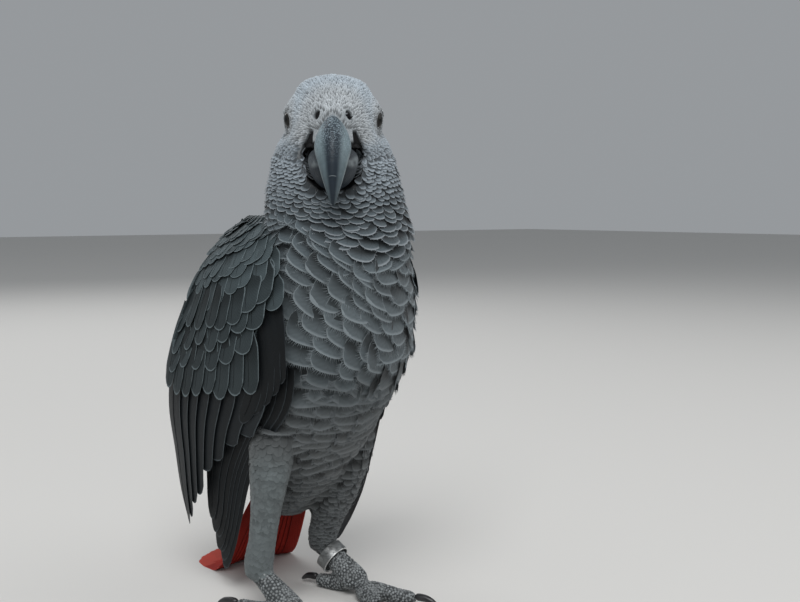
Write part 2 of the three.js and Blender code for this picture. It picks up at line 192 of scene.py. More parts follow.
class Surface:
    """A mesh to grow a coat on. Its nearest points come with smooth normals."""

    def __init__(self, places, triangles, normals):
        self.places, self.triangles, self.normals = places, triangles, normals
        self.tree = BVHTree.FromPolygons(places.tolist(), triangles.tolist())

    def nearest(self, points):
        """The nearest points of the surface, the normals there and the triangles they lie in."""
        found = [self.tree.find_nearest(point) for point in np.asarray(points).tolist()]
        spots = np.array([spot[0] for spot in found])
        hit = np.array([spot[2] for spot in found])
        corners = self.triangles[hit]
        away = np.linalg.norm(self.places[corners] - spots[:, None], axis=2)
        weights = 1 / (away + 1e-5)
        normals = (self.normals[corners] * weights[..., None]).sum(1)
        return spots, unit(normals), hit


# ---- materials ----
class Value:
    """A socket of a material. Using it in a sum adds the Math nodes that work the sum out."""

    def __init__(self, finish, socket):
        self.finish, self.socket = finish, socket

    def maths(self, operation, *others):
        inputs = dict(enumerate((self, *others)))
        return self.finish.node("Math", {"operation": operation}, inputs)

    def flipped(self, operation, other):
        return self.finish.node("Math", {"operation": operation}, {0: other, 1: self})

    def __add__(self, other):
        return self.maths("ADD", other)

    def __sub__(self, other):
        return self.maths("SUBTRACT", other)

    def __mul__(self, other):
        return self.maths("MULTIPLY", other)

    def __truediv__(self, other):
        return self.maths("DIVIDE", other)

    def __radd__(self, other):
        return self.maths("ADD", other)

    def __rsub__(self, other):
        return self.flipped("SUBTRACT", other)

    def __rmul__(self, other):
        return self.maths("MULTIPLY", other)

    def __abs__(self):
        return self.maths("ABSOLUTE")

    def most(self, other):
        return self.maths("MAXIMUM", other)

    def sine(self):
        return self.maths("SINE")

    def ramp(self, low, high, start=0.0, end=1.0):
        """start below low, end above high and smooth between them."""
        settings = {"interpolation_type": "SMOOTHSTEP"}
        inputs = {0: self, 1: low, 2: high, 3: start, 4: end}
        return self.finish.node("MapRange", settings, inputs)

    def split(self):
        node = self.finish.node("SeparateXYZ", {}, {0: self}).socket.node
        return [Value(self.finish, socket) for socket in node.outputs]


class Finish:
    """A material, its node tree and the few ways in which nodes are added to it."""

    def __init__(self, name):
        self.material = bpy.data.materials.new(name)
        self.material.use_nodes = True
        self.tree = self.material.node_tree
        self.tree.nodes.clear()

    def node(self, kind, settings=None, inputs=None, output=0):
        """Adds a node, sets it up, gives its sockets their values or links and returns one output."""
        node = self.tree.nodes.new("ShaderNode" + kind)
        for name, value in (settings or {}).items():
            setattr(node, name, value)
        for key, value in (inputs or {}).items():
            if isinstance(value, Value):
                self.tree.links.new(value.socket, node.inputs[key])
            else:
                node.inputs[key].default_value = value
        return Value(self, node.outputs[output])

    def attribute(self, name, output="Vector"):
        return self.node("Attribute", {"attribute_name": name}, output=output)

    def place(self):
        return self.node("TexCoord", output="Object")

    def stretched(self, scale, place=None):
        return self.node("Mapping", {}, {"Vector": place or self.place(), "Scale": scale})

    def noise(self, scale, detail=3.0, place=None, roughness=0.55):
        inputs = {"Vector": place or self.place(), "Scale": scale, "Detail": detail, "Roughness": roughness}
        return self.node("TexNoise", {}, inputs)

    def cells(self, scale, feature="F1", place=None):
        inputs = {"Vector": place or self.place(), "Scale": scale}
        return self.node("TexVoronoi", {"feature": feature}, inputs)

    def mix(self, first, second, share, way="MIX"):
        """A mix of two colours."""
        inputs = {0: share, 6: first, 7: second}
        settings = {"data_type": "RGBA", "blend_type": way}
        return self.node("Mix", settings, inputs, output=2)

    def lit(self, colour, amount):
        """A colour made lighter or darker."""
        return self.node("VectorMath", {"operation": "SCALE"}, {0: colour, "Scale": amount})

    def bump(self, height, distance, strength=1.0):
        return self.node("Bump", {}, {"Height": height, "Distance": distance, "Strength": strength})

    def surface(self, **sockets):
        """Ends the tree with a Principled shader. Socket names are given in lower case with underscores."""
        names = {name.lower().replace(" ", "_"): name for name in self.principled_names()}
        inputs = {names[key]: value for key, value in sockets.items()}
        shader = self.node("BsdfPrincipled", {}, inputs)
        end = self.tree.nodes.new("ShaderNodeOutputMaterial")
        self.tree.links.new(shader.socket, end.inputs["Surface"])
        return self.material

    def principled_names(self):
        probe = self.tree.nodes.new("ShaderNodeBsdfPrincipled")
        names = [socket.name for socket in probe.inputs]
        self.tree.nodes.remove(probe)
        return names


def colour4(colour):
    return (*colour, 1.0)


def feather_finish(name, rim=(0.5, 0.53, 0.55), rim_share=0.5, rim_from=(0.86, 0.86), shaft=0.55, shaft_width=0.06,
                   root_shade=0.45, shade=(0.15, 0.7), barbs=0.08, roughness=0.72, sheen=0.15, barb_rows=46.0,
                   shine=0.25):
    """A vane with fine barbs, a shaft and a rim worn pale, darker towards its root: partly its own darker base, partly
    painted shade where its neighbours cover it.
    """
    f = Finish(name)
    across, along, tone = f.attribute("vane").split()
    tint = f.attribute("tint")
    off_shaft = abs(across)
    mottle = f.noise(650.0, 3.0)
    drift = f.noise(90.0, 2.0)
    barb = (along * barb_rows - off_shaft * (barb_rows * 0.43) + mottle * 5.0).sine()
    # painted shade where neighbours cover the vane, over its own darker base: root_shade up to shade[0] along it, full
    # tone from shade[1]
    dark_base_and_painted_shade = along.ramp(shade[0], shade[1], root_shade, 1.0)
    value = dark_base_and_painted_shade * (0.84 + 0.32 * tone) * (1.0 + barbs * barb) * (0.8 + 0.4 * drift)
    body = f.lit(tint, value)
    ragged = (mottle - 0.5) * 0.1
    edge = (off_shaft + ragged).ramp(rim_from[0], 0.99).most((along + ragged * 0.3).ramp(rim_from[1], 0.995))
    worn = f.mix(body, colour4(rim), edge * rim_share)
    shaft_mask = off_shaft.ramp(shaft_width * 0.4, shaft_width, 1.0, 0.0) * along.ramp(0.8, 0.95, 1.0, 0.0)
    shafted = f.mix(worn, f.lit(worn, shaft), shaft_mask)
    relief = barb * 0.5 + shaft_mask * 1.5 + mottle
    return f.surface(
        base_color=shafted,
        roughness=roughness,
        normal=f.bump(relief, 0.06 * MM, 0.6),
        sheen_weight=sheen,
        sheen_roughness=0.5,
        specular_ior_level=shine,
    )


# ---- feathers ----
class Vane:
    """One feather for a coat to repeat. Its points are across in half widths, along in lengths and up in metres,
    and its grid says how far across and along the blade each vertex lies. The blade is a closed, thin lens."""

    def __init__(self, size, columns, rows, narrow_root=0.3, broadest=0.5, end=0.8, tip=0.35, bulge=0.12 * MM,
                 barbs=0, barb_length=1.2 * MM, barb_width=0.16 * MM, barbs_from=0.6, shaft=0.0, square=2.0,
                 seed=1):
        self.half_width, self.length = size[0] / 2, size[1]
        self.chance = np.random.default_rng(seed)
        self.narrow_root, self.broadest, self.end, self.tip, self.bulge = narrow_root, broadest, end, tip, bulge
        self.square = square
        bm = bmesh.new()
        self.across = bm.verts.layers.float.new("across")
        self.along = bm.verts.layers.float.new("along")
        self.blade(bm, columns, rows)
        for count in range(barbs):
            turn = 2 * (count + self.chance.uniform(0.2, 0.8)) / barbs - 1
            self.barb(bm, turn, barb_length * self.chance.uniform(0.5, 1.2), barb_width, barbs_from)
        if shaft:
            self.shaft(bm, shaft, rows)
        bmesh.ops.triangulate(bm, faces=bm.faces)
        bm.verts.index_update()
        self.points = np.array([v.co for v in bm.verts]) / (self.half_width, self.length, 1)
        self.grid = np.array([(v[self.across], v[self.along]) for v in bm.verts])
        self.triangles = np.array([[v.index for v in face.verts] for face in bm.faces])
        bm.free()

    def half(self, along):
        """The blade's half width at a share of its length."""
        grown = blend(self.narrow_root, 1.0, ramp(0, self.broadest, along))
        return grown * blend(1.0, self.end, ramp(self.broadest, 1, along))

    def spot(self, across, along):
        """A place on the blade, in metres."""
        rounding = self.tip * (1 - max(0.0, 1 - 0.98 * abs(across) ** self.square) ** (1 / self.square))
        up = self.bulge * (1 - across * across) * min(1.0, 3 * (1.03 - along))
        return Vector((self.half_width * across * self.half(along), self.length * along * (1 - rounding), up))

    def blade(self, bm, columns, rows):
        bmesh.ops.create_grid(bm, x_segments=columns, y_segments=rows, size=1)
        for v in bm.verts:
            v[self.across], v[self.along] = v.co.x, (v.co.y + 1) / 2
            v.co = self.spot(v[self.across], v[self.along])
        left, right = (
            sorted((v for v in bm.verts if abs(v[self.across] - edge) < 0.01), key=lambda v: v[self.along])
            for edge in (-1, 1)
        )
        for row in range(rows):
            bm.faces.new((left[row], left[row + 1], right[row + 1], right[row]))
        for end in (0, 1):
            row = sorted((v for v in bm.verts if abs(v[self.along] - end) < 0.01), key=lambda v: v[self.across])
            bm.faces.new(row if end else row[::-1])

    def barb(self, bm, turn, length, width, start):
        """A loose barb on the blade's rim. turn is -1 at one side's start, 0 at the tip and 1 at the other side."""
        on_side = abs(turn) > 0.45
        across = math.copysign(1.0, turn) if on_side else turn / 0.45
        along = blend(1.0, start, (abs(turn) - 0.45) / 0.55) if on_side else 1.0
        root = self.spot(0.8 * across, along - 0.06)
        rim = self.spot(across, along)
        way = (rim - root).normalized() + Vector((0.25 * across, 0.9, 0.0))
        way.normalize()
        place = Matrix.Translation(rim + way * (length / 2 - 0.3 * width)) @ UP.rotation_difference(way).to_matrix().to_4x4()
        made = bmesh.ops.create_cone(
            bm, cap_ends=True, segments=3, radius1=width, radius2=width * 0.1, depth=length, matrix=place
        )
        for v in made["verts"]:
            v[self.across], v[self.along] = across, along

    def shaft(self, bm, radius, rows):
        """The quill's visible ridge, which tapers towards the tip."""
        length = 0.93 * self.length
        place = Matrix.Translation((0, length / 2, self.bulge)) @ Matrix.Rotation(-math.pi / 2, 4, "X")
        made = bmesh.ops.create_cone(
            bm, cap_ends=True, segments=4, radius1=radius, radius2=radius * 0.3, depth=length, matrix=place
        )
        runs = {edge for v in made["verts"] for edge in v.link_edges}
        for v in made["verts"]:
            v[self.across] = 9.0
        runs = [edge for edge in runs if abs(edge.verts[0].co.y - edge.verts[1].co.y) > length / 2]
        bmesh.ops.subdivide_edges(bm, edges=runs, cuts=rows - 1)
        for v in bm.verts:
            if v[self.across] > 5:
                v[self.across], v[self.along] = 0.0, v.co.y / self.length


class Course:
    """Where feathers run: their middles at even steps from root to tip, with the way across and the way up."""

    def __init__(self, middles, normals):
        self.middles = middles
        run = np.gradient(middles, axis=1)
        self.sides = unit(np.cross(run, normals))
        self.normals = unit(np.cross(self.sides, unit(run)))

    def at(self, along):
        """Middles, sides and normals of every feather at these shares of its length."""
        steps = self.middles.shape[1]
        place = np.clip(along, -0.2, 1.3) * (steps - 1)
        first = np.clip(place.astype(int), 0, steps - 2)
        part = (place - first)[None, :, None]
        return [v[:, first] * (1 - part) + v[:, first + 1] * part for v in (self.middles, self.sides, self.normals)]


def walk(surface, roots, ways, lengths, steps):
    """Courses that start at the roots and go straight on along the surface."""
    middles, normals = [], []
    spots, ups, _ = surface.nearest(roots)
    ways = unit(ways - ups * (ways * ups).sum(1, keepdims=True))
    stride = (np.asarray(lengths) / (steps - 1))[:, None]
    for _ in range(steps):
        middles.append(spots)
        normals.append(ups)
        spots, ups, _ = surface.nearest(spots + ways * stride)
        ways = unit(ways - ups * (ways * ups).sum(1, keepdims=True))
    return Course(np.stack(middles, 1), np.stack(normals, 1))


class Coat:
    """Feathers gathered into one piece."""

    def __init__(self, patch=0.003):
        self.patch = patch
        self.parts = []
        self.count = 0

    def lay(self, vane, course, half_widths, lifts, tones, tints, places, camber=0.0, roll=0.0, rise=1.0, curl=0.0,
            hand=1):
        """Lays one vane on each course. lifts are the heights of roots and tips over the course, camber is how far
        the edges drop and roll how far one edge rises over the other, all in metres. hand is -1 for mirrored vanes."""
        across, along, up = vane.points.T
        middles, sides, normals = course.at(along)
        number = len(middles)
        per_feather = lambda value: np.broadcast_to(np.asarray(value, float), (number,))[:, None]
        low, high = (per_feather(lift) for lift in lifts)
        share = np.clip(along, 0, 1.2)[None]
        height = low + (high - low) * share**rise + up[None] - per_feather(camber) * across[None] ** 2
        height = height + per_feather(roll) * across[None] + per_feather(curl) * np.clip(share - 0.6, 0, 1) ** 2
        beside = hand * per_feather(half_widths) * across[None]
        spots = middles + sides * beside[..., None] + normals * height[..., None]
        points = len(across)
        grid = np.broadcast_to(vane.grid[None], (number, points, 2))
        tone = np.broadcast_to(per_feather(tones)[..., None], (number, points, 1))
        patch = grid * (0.5, 1) - (0, 0.5)
        first = self.count + points * np.arange(number)[:, None, None]
        self.parts.append({
            "places": spots.reshape(-1, 3),
            "vane": np.concatenate([grid, tone], 2).reshape(-1, 3),
            "tint": np.broadcast_to(np.asarray(tints, float)[:, None], (number, points, 3)).reshape(-1, 3),
            "map": (np.asarray(places)[:, None] + patch * self.patch).reshape(-1, 2),
            "triangles": (vane.triangles[None, :, ::hand] + first).reshape(-1, 3),
        })
        self.count += number * points

    def piece(self, name, material, slot, replaces=(), sharp=60):
        """Joins the feathers into one finished piece, with each one's patch on the coat's map."""
        whole = {key: np.concatenate([part[key] for part in self.parts]) for key in self.parts[0]}
        heights = whole["places"][:, 2]
        near_floor = np.minimum(heights / (0.5 * MM), 1)
        heights[:] = np.where(near_floor < 1, 0.5 * MM * np.exp(near_floor - 1), heights)  # never through the floor
        mesh = bpy.data.meshes.new(name)
        mesh.from_pydata(whole["places"].tolist(), [], whole["triangles"].tolist())
        corners = np.zeros(len(mesh.loops), int)
        mesh.loops.foreach_get("vertex_index", corners)
        low, high = whole["map"].min(0), whole["map"].max(0)
        spread = 0.005 + 0.99 * (whole["map"] - low) / (high - low)
        layer = mesh.uv_layers.new(name="OFBake")
        layer.data.foreach_set("uv", spread[corners].astype(np.float32).ravel())
        tag(mesh, "vane", whole["vane"])
        tag(mesh, "tint", whole["tint"])
        return finish_piece(new_object(name, mesh), material, replaces, sharp)


# ---- sizes and colours that a user may change ----
def length(name, description, default):
    return FloatProperty(name=name, description=description, default=default, min=0.0, unit="LENGTH")


def colour(name, description, default):
    return FloatVectorProperty(
        name=name, description=description, default=default, size=3, min=0.0, max=1.0, subtype="COLOR"
    )


class ParrotSizes(bpy.types.PropertyGroup):
    voxel: length("Skin grain", "Size of the voxels that join the flesh into one skin", 1.15 * MM)
    head_coat: length("Head coat", "Height of the head's feather tips over the skin", 0.9 * MM)
    body_coat: length("Body coat", "Height of the breast's feather tips over the skin", 2.0 * MM)
    thigh_coat: length("Thigh coat", "Height of the thigh's feather tips over the skin", 1.0 * MM)
    arm_coat: length("Arm coat", "Height of the small wing coverts over the skin", 1.6 * MM)
    scale_coat: length("Scale thickness", "Height of the foot's scales over the skin", 0.4 * MM)


class ParrotColours(bpy.types.PropertyGroup):
    head: colour("Head", "Feathers of the crown and the cheeks", (0.39, 0.455, 0.51))
    neck: colour("Neck", "Feathers of the nape and the throat", (0.075, 0.095, 0.107))
    breast: colour("Breast", "Broad feathers of the breast", (0.083, 0.101, 0.110))
    belly: colour("Belly", "Feathers of the belly and the flanks", (0.097, 0.104, 0.106))
    thigh: colour("Thigh", "Short feathers of the thighs", (0.120, 0.139, 0.143))
    covert: colour("Coverts", "Feathers of the shoulder and the wing's upper part", (0.052, 0.068, 0.074))
    flight: colour("Flight feathers", "Long feathers of the wing", (0.0125, 0.0155, 0.018))
    tail: colour("Tail", "Red of the tail", (0.40, 0.026, 0.017))
    tail_shade: colour("Tail shade", "Brown of the tail's hidden parts and tips", (0.045, 0.012, 0.010))
    horn: colour("Bill", "Dark horn of the bill", (0.010, 0.020, 0.032))
    scale: colour("Scales", "Scales of the feet", (0.20, 0.215, 0.22))
    metal: colour("Ring", "Worn metal of the leg ring", (0.30, 0.31, 0.31))


def sizes():
    return bpy.context.scene.parrot_sizes


def colours():
    return bpy.context.scene.parrot_colours


# ---- the skin ----
LEG_PARTS = [f"{part}_{side}" for side in SIDES for part in ("thigh", "shank")]
TOES = [f"toe_{side}_{digit}" for side in SIDES for digit in DIGITS]
ARMS = [f"wing_{side}_arm" for side in SIDES]
FLESH = ["head", "neck", "trunk", "rump", *LEG_PARTS, *TOES, *ARMS]
SKIN = {}  # what the coats need to know of the finished skin


def joined_flesh():
    """The flesh solids, swollen until their gaps close, as one mesh of even small faces."""
    bm = merged_copy(*FLESH)
    bmesh.ops.recalc_face_normals(bm, faces=bm.faces)
    bm.normal_update()
    for v in bm.verts:
        v.co += v.normal * SWELLING
    mesh = bpy.data.meshes.new("flesh")
    bm.to_mesh(mesh)
    bm.free()
    rough = new_object("flesh", mesh)
    remesh = rough.modifiers.new("join", "REMESH")
    remesh.mode = "VOXEL"
    remesh.voxel_size = sizes().voxel
    seen = rough.evaluated_get(bpy.context.evaluated_depsgraph_get())
    joined = bpy.data.meshes.new_from_object(seen)
    bpy.data.objects.remove(rough)
    return joined


SWELLING = 0.45 * MM


def node_surface(*names):
    """The solids' own surface, and the name of the solid that each of its triangles belongs to."""
    places, triangles, owners, count = [], [], [], 0
    for name in names:
        spots, corners, _ = arrays_of(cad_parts[name].data)
        places.append(spots)
        triangles.append(corners + count)
        owners += [name] * len(corners)
        count += len(spots)
    places, triangles = np.concatenate(places), np.concatenate(triangles)
    return Surface(places, triangles, np.tile((0.0, 0.0, 1.0), (len(places), 1))), np.array(owners)


def coat_depths(owners):
    """How far the skin lies inside the solids, by the solid."""
    s = sizes()
    depths = {"head": s.head_coat, "neck": s.body_coat * 0.75, "trunk": s.body_coat, "rump": s.body_coat}
    kinds = {"thigh": s.thigh_coat, "shank": s.scale_coat, "toe": s.scale_coat * 0.8, "wing": s.arm_coat}
    return np.array([depths.get(name) or kinds[name.split("_")[0]] for name in owners])


def evened(values, edges, rounds):
    """Values at vertices, averaged with their neighbours' a number of times."""
    for _ in range(rounds):
        total, count = values.copy(), np.ones(len(values))
        np.add.at(total, edges[:, 0], values[edges[:, 1]])
        np.add.at(total, edges[:, 1], values[edges[:, 0]])
        np.add.at(count, edges.ravel(), 1)
        values = total / count
    return values


def make_skin():
    mesh = joined_flesh()
    flesh, names = node_surface(*FLESH)
    bm = bmesh.new()
    bm.from_mesh(mesh)
    bm.verts.ensure_lookup_table()
    hit = flesh.nearest([v.co for v in bm.verts])[2]
    owners = names[hit]
    feet = np.array([name.startswith(("toe", "shank")) for name in owners])
    for rounds, wanted in ((9, ~feet), (3, feet)):
        some = [bm.verts[i] for i in np.nonzero(wanted)[0]]
        for _ in range(rounds):
            bmesh.ops.smooth_vert(bm, verts=some, factor=0.5, use_axis_x=True, use_axis_y=True, use_axis_z=True)
    edges = np.array([[v.index for v in edge.verts] for edge in bm.edges])
    bm.normal_update()
    smooth = np.array([v.co for v in bm.verts])
    ups = np.array([v.normal for v in bm.verts])
    sunk = ((flesh.nearest(smooth)[0] - smooth) * ups).sum(1)
    depths = evened(coat_depths(owners) - np.clip(sunk, -2 * MM, 2 * MM), edges, 8)
    for v, depth in zip(bm.verts, depths):
        v.co -= v.normal * depth
        v.co.z = max(v.co.z, 0.05 * MM)
    raise_cere(bm)
    refine_face(bm)
    bm.verts.index_update()
    bm.verts.ensure_lookup_table()
    hit = flesh.nearest([v.co for v in bm.verts])[2]
    SKIN["owners"] = names[hit]
    edges = np.array([[v.index for v in edge.verts] for edge in bm.edges])
    before = np.array([v.co for v in bm.verts])
    bm.normal_update()
    after, dark = sculpt_face(before, np.array([v.normal for v in bm.verts]))
    for v, spot in zip(bm.verts, after):
        v.co = spot
    bm.to_mesh(mesh)
    bm.free()
    places, triangles, normals = arrays_of(mesh)
    SKIN["surface"] = Surface(places, triangles, normals)
    feet = np.array([name.startswith(("toe", "shank")) for name in SKIN["owners"]])
    tag(mesh, "bare", np.maximum(face_bareness(places), 0.7 * ramp(180 * MM, 192 * MM, places[:, 2])))
    tag(mesh, "foot", evened(feet.astype(float), edges, 3))
    # dark: painted shade in the eye sockets, the nostril pits, the gape and the hollows beside the bill
    tag(mesh, "dark", dark)
    return mesh


def raise_cere(bm):
    """Brings the skin forward round the bill's root, as the bare swelling that the nostrils open in."""
    for v in bm.verts:
        left, forward, height = leftward_of([v.co])[0] / MM, forward_of([v.co])[0] / MM, v.co.z / MM
        if forward < 1 or abs(left) > 10 or not 186 < height < 208:
            continue
        over, under = max(0.0, height - 201.5), max(0.0, 200 - height)
        wanted = 17.3 - 3.9 * (left / 8) ** 2 - 0.42 * over**1.35 - 0.1 * under
        hold = float(ramp(186.5, 189.5, height) * (1 - ramp(8.5, 10, abs(left))))
        v.co += HEAD_FORWARD * (max(0.0, wanted - forward) * hold * MM)


def refine_face(bm):
    """Smaller faces round the eyes and over the bill's root, for the lids and the nostrils."""
    def near_features(place):
        about_eye = min((place - eye).length for eye in EYES.values()) < 10.5 * MM
        forward = (place - EYES_MIDDLE).dot(HEAD_FORWARD)
        return about_eye or (forward > 6 * MM and place.z > 184 * MM)

    for _ in range(2):
        edges = [e for e in bm.edges if near_features((e.verts[0].co + e.verts[1].co) / 2)]
        bmesh.ops.subdivide_edges(bm, edges=edges, cuts=1, use_grid_fill=True)
    some = [v for v in bm.verts if near_features(v.co)]
    for _ in range(9):
        bmesh.ops.smooth_vert(bm, verts=some, factor=0.5, use_axis_x=True, use_axis_y=True, use_axis_z=True)


NOSTRIL = (6.1 * MM, 16.0 * MM, 200.6 * MM)  # left, forward and height
LID_RADIUS = 2.95 * MM
LID_REACH = 4.0 * MM  # how far the lids' rim stands out from the eye's middle


def eye_way(name):
    """Where an eye looks: outwards, a little forward and a little down."""
    return (HEAD_LEFT * SIDES[name] + HEAD_FORWARD * 0.38 - UP * 0.14).normalized()


def about_line(points, start, way):
    """How far points lie along a line and away from it."""
    offset = np.asarray(points) - np.array(start)
    along = offset @ np.array(way)
    return along, np.linalg.norm(offset - along[:, None] * np.array(way), axis=1)


def sculpt_face(places, normals):
    """Sinks the eyes' sockets and the nostrils, and raises the folded skin round the eyes. Also gives where shade is
    painted on the skin: in the sockets, the nostril pits, the gape and the hollows beside the bill.
    """
    places = places.copy()
    # dark is painted shade: 1 where the skin is painted near black in the sockets, the nostril pits, the gape and the
    # hollows beside the bill
    dark = np.zeros(len(places))
    for name, eye in EYES.items():
        way = eye_way(name)
        along, away = about_line(places, eye, way)
        here = (away < 11 * MM) & (along > -8 * MM)
        folds = 0.12 * MM * np.cos((away - LID_RADIUS) * (2 * math.pi / (1.0 * MM))) * (1 - ramp(5 * MM, 8 * MM, away))
        wanted = LID_REACH - 0.25 * MM + folds - 0.9 * MM * ramp(4 * MM, 9 * MM, away)
        hold = (1 - ramp(4.6 * MM, 10 * MM, away)) * here
        inside = (1 - ramp(LID_RADIUS - 0.3 * MM, LID_RADIUS + 0.2 * MM, away)) * here
        move = hold * (wanted - along)
        move = move * (1 - inside) + inside * (-2.0 * MM - along)
        places += move[:, None] * np.array(way)
        dark = np.maximum(dark, inside)
    for side in SIDES.values():
        middle = head_point(NOSTRIL[0] * side, *NOSTRIL[1:])
        offset = places - np.array(middle)
        across = (offset @ np.array(HEAD_LEFT)) * side
        height = offset[:, 2]
        slant = across + 0.25 * height
        reach = np.hypot(slant / (1.15 * MM), height / (1.9 * MM))
        front = forward_of(places) > 8 * MM
        pit = (1 - ramp(0.85, 1.05, reach)) * front
        lip = np.exp(-(((reach - 1.4) / 0.3) ** 2)) * front
        places += normals * ((0.2 * MM * lip - 1.1 * MM * pit)[:, None])
        dark = np.maximum(dark, pit)
    hollow = beside_bill(places)
    places -= normals * (1.3 * MM * hollow[:, None])
    forward, left = forward_of(places), abs(leftward_of(places))
    # painted shade in the gape
    gape = (1 - ramp(10.5 * MM, 12.5 * MM, left)) * (1 - ramp(190 * MM, 191.5 * MM, places[:, 2]))
    dark = np.maximum(dark, gape * (forward > -4 * MM) * ramp(174 * MM, 177 * MM, places[:, 2]))
    return places, np.maximum(dark, hollow)


def beside_bill(places):
    """1 in the dark hollows beside the bill's root, which widen down to the gape, and 0 elsewhere."""
    left, height = abs(leftward_of(places)) / MM, np.asarray(places)[:, 2] / MM
    down = np.clip((195.5 - height) / 9, 0, 1)
    reach = abs(left - 8.0 - 2.4 * down) / (0.7 + 1.7 * down)
    within = ramp(184, 186, height) * (1 - ramp(194, 195.5, height)) * (forward_of(places) > 4 * MM)
    return (1 - ramp(0.6, 1.1, reach)) * within


def forward_of(points):
    return (np.asarray(points) - np.array(EYES_MIDDLE)) @ np.array(HEAD_FORWARD)


def leftward_of(points):
    return (np.asarray(points) - np.array(EYES_MIDDLE)) @ np.array(HEAD_LEFT)


def face_bareness(points):
    """1 on the bare skin round the eyes and the bill's root, 0 elsewhere."""
    points = np.asarray(points)
    near_eye = [1 - ramp(6 * MM, 10 * MM, np.linalg.norm(points - np.array(eye), axis=1)) for eye in EYES.values()]
    front = ramp(6 * MM, 12 * MM, forward_of(points)) * ramp(188 * MM, 192 * MM, points[:, 2])
    return np.maximum.reduce([*near_eye, front])


def skin_finish():
    f = Finish("skin")
    bare, foot = f.attribute("bare", "Fac"), f.attribute("foot", "Fac")
    grain = f.noise(1400.0, 4.0)
    under = f.mix(colour4((0.030, 0.033, 0.036)), colour4((0.055, 0.058, 0.06)), grain)
    powder = f.mix(colour4((0.30, 0.33, 0.35)), colour4((0.44, 0.47, 0.49)), grain.ramp(0.35, 0.65))
    sole = f.mix(colour4((0.035, 0.040, 0.042)), colour4((0.07, 0.075, 0.078)), grain)
    coated = f.mix(under, powder, bare)
    # painted shade: the skin turns near black where dark is 1, in the eye sockets, the nostril pits, the gape and the
    # hollows beside the bill
    shaded = f.mix(coated, colour4((0.006, 0.006, 0.007)), f.attribute("dark", "Fac"))
    creases = f.cells(900.0, "DISTANCE_TO_EDGE").ramp(0.0, 0.12)
    return f.surface(
        base_color=f.mix(shaded, sole, foot),
        roughness=grain.ramp(0.2, 0.8, 0.6, 0.85),
        normal=f.bump(creases * 0.6 + grain, 0.12 * MM, 0.6),
        specular_ior_level=0.3,
    )


# ---- where feathers stand and how they lie ----
def skin_region(wanted, keep=None):
    """The skin's triangles that belong to these solids, and that keep, a test of places, lets through."""
    surface, owners = SKIN["surface"], SKIN["owners"]
    inside = np.isin(owners[surface.triangles[:, 0]], wanted)
    if keep is not None:
        inside &= keep(surface.places[surface.triangles].mean(1))
    return surface.triangles[inside]


def unit_sum(weights):
    return weights / weights.sum()


def feather_places(surface, triangles, pitches, seed, rounds=9):
    """Staggered, evenly spaced places on these triangles. pitches gives, for places, how far apart feathers stand
    along and across the way they lie, which is mostly down."""
    chance = np.random.default_rng(seed)
    corners = surface.places[triangles]
    areas = np.linalg.norm(np.cross(corners[:, 1] - corners[:, 0], corners[:, 2] - corners[:, 0]), axis=1) / 2
    along, across = pitches(corners.mean(1))
    cells = along * across
    number = max(1, int((areas / cells).sum()))
    weights = areas / cells**2
    picked = chance.choice(len(triangles), number * 14, p=unit_sum(weights))
    shares = chance.dirichlet((1, 1, 1), len(picked))
    spots = (corners[picked] * shares[:, :, None]).sum(1)
    squeeze = np.array((1, 1, float((across / along).mean())))
    first = chance.choice(len(picked), number, replace=False, p=unit_sum(cells[picked]))
    sites = spots[first] * squeeze
    for _ in range(rounds):
        tree = KDTree(number)
        for index, site in enumerate(sites.tolist()):
            tree.insert(site, index)
        tree.balance()
        owner = np.array([tree.find(spot)[1] for spot in (spots * squeeze).tolist()])
        total = np.zeros((number, 3))
        np.add.at(total, owner, spots * squeeze)
        count = np.bincount(owner, minlength=number)[:, None]
        sites = np.where(count > 0, total / np.maximum(count, 1), sites)
    return surface.nearest(sites / squeeze)[:2]


def head_lie(points):
    """The way feathers lie on the head, neck and trunk: away from the bill, then down."""
    points = np.asarray(points)
    away = unit(points - np.array(BILL_ROOT))
    behind = 1 - ramp(-20 * MM, 8 * MM, forward_of(points))
    below = 1 - ramp(165 * MM, 187 * MM, points[:, 2])
    drop = 1.1 * behind + 0.9 * below
    return unit(away + drop[:, None] * (0, 0, -1))


def on_unwrap(points, low, high):
    """Where these places lie on a map of the skin that is unrolled about the body's axis."""
    points = np.asarray(points)
    turn = np.arctan2(points[:, 0] - BODY_AXIS.x, points[:, 1] - BODY_AXIS.y) / (2 * math.pi) + 0.5
    return np.stack([turn, (points[:, 2] - low) / (high - low)], 1)


def scattered(solids, pitches, lie, seed, keep=None):
    """Places, normals and ways of feathers that are spread evenly over the skin of these solids."""
    roots, normals = feather_places(SKIN["surface"], skin_region(solids, keep), pitches, seed)
    return roots, normals, lie(roots)


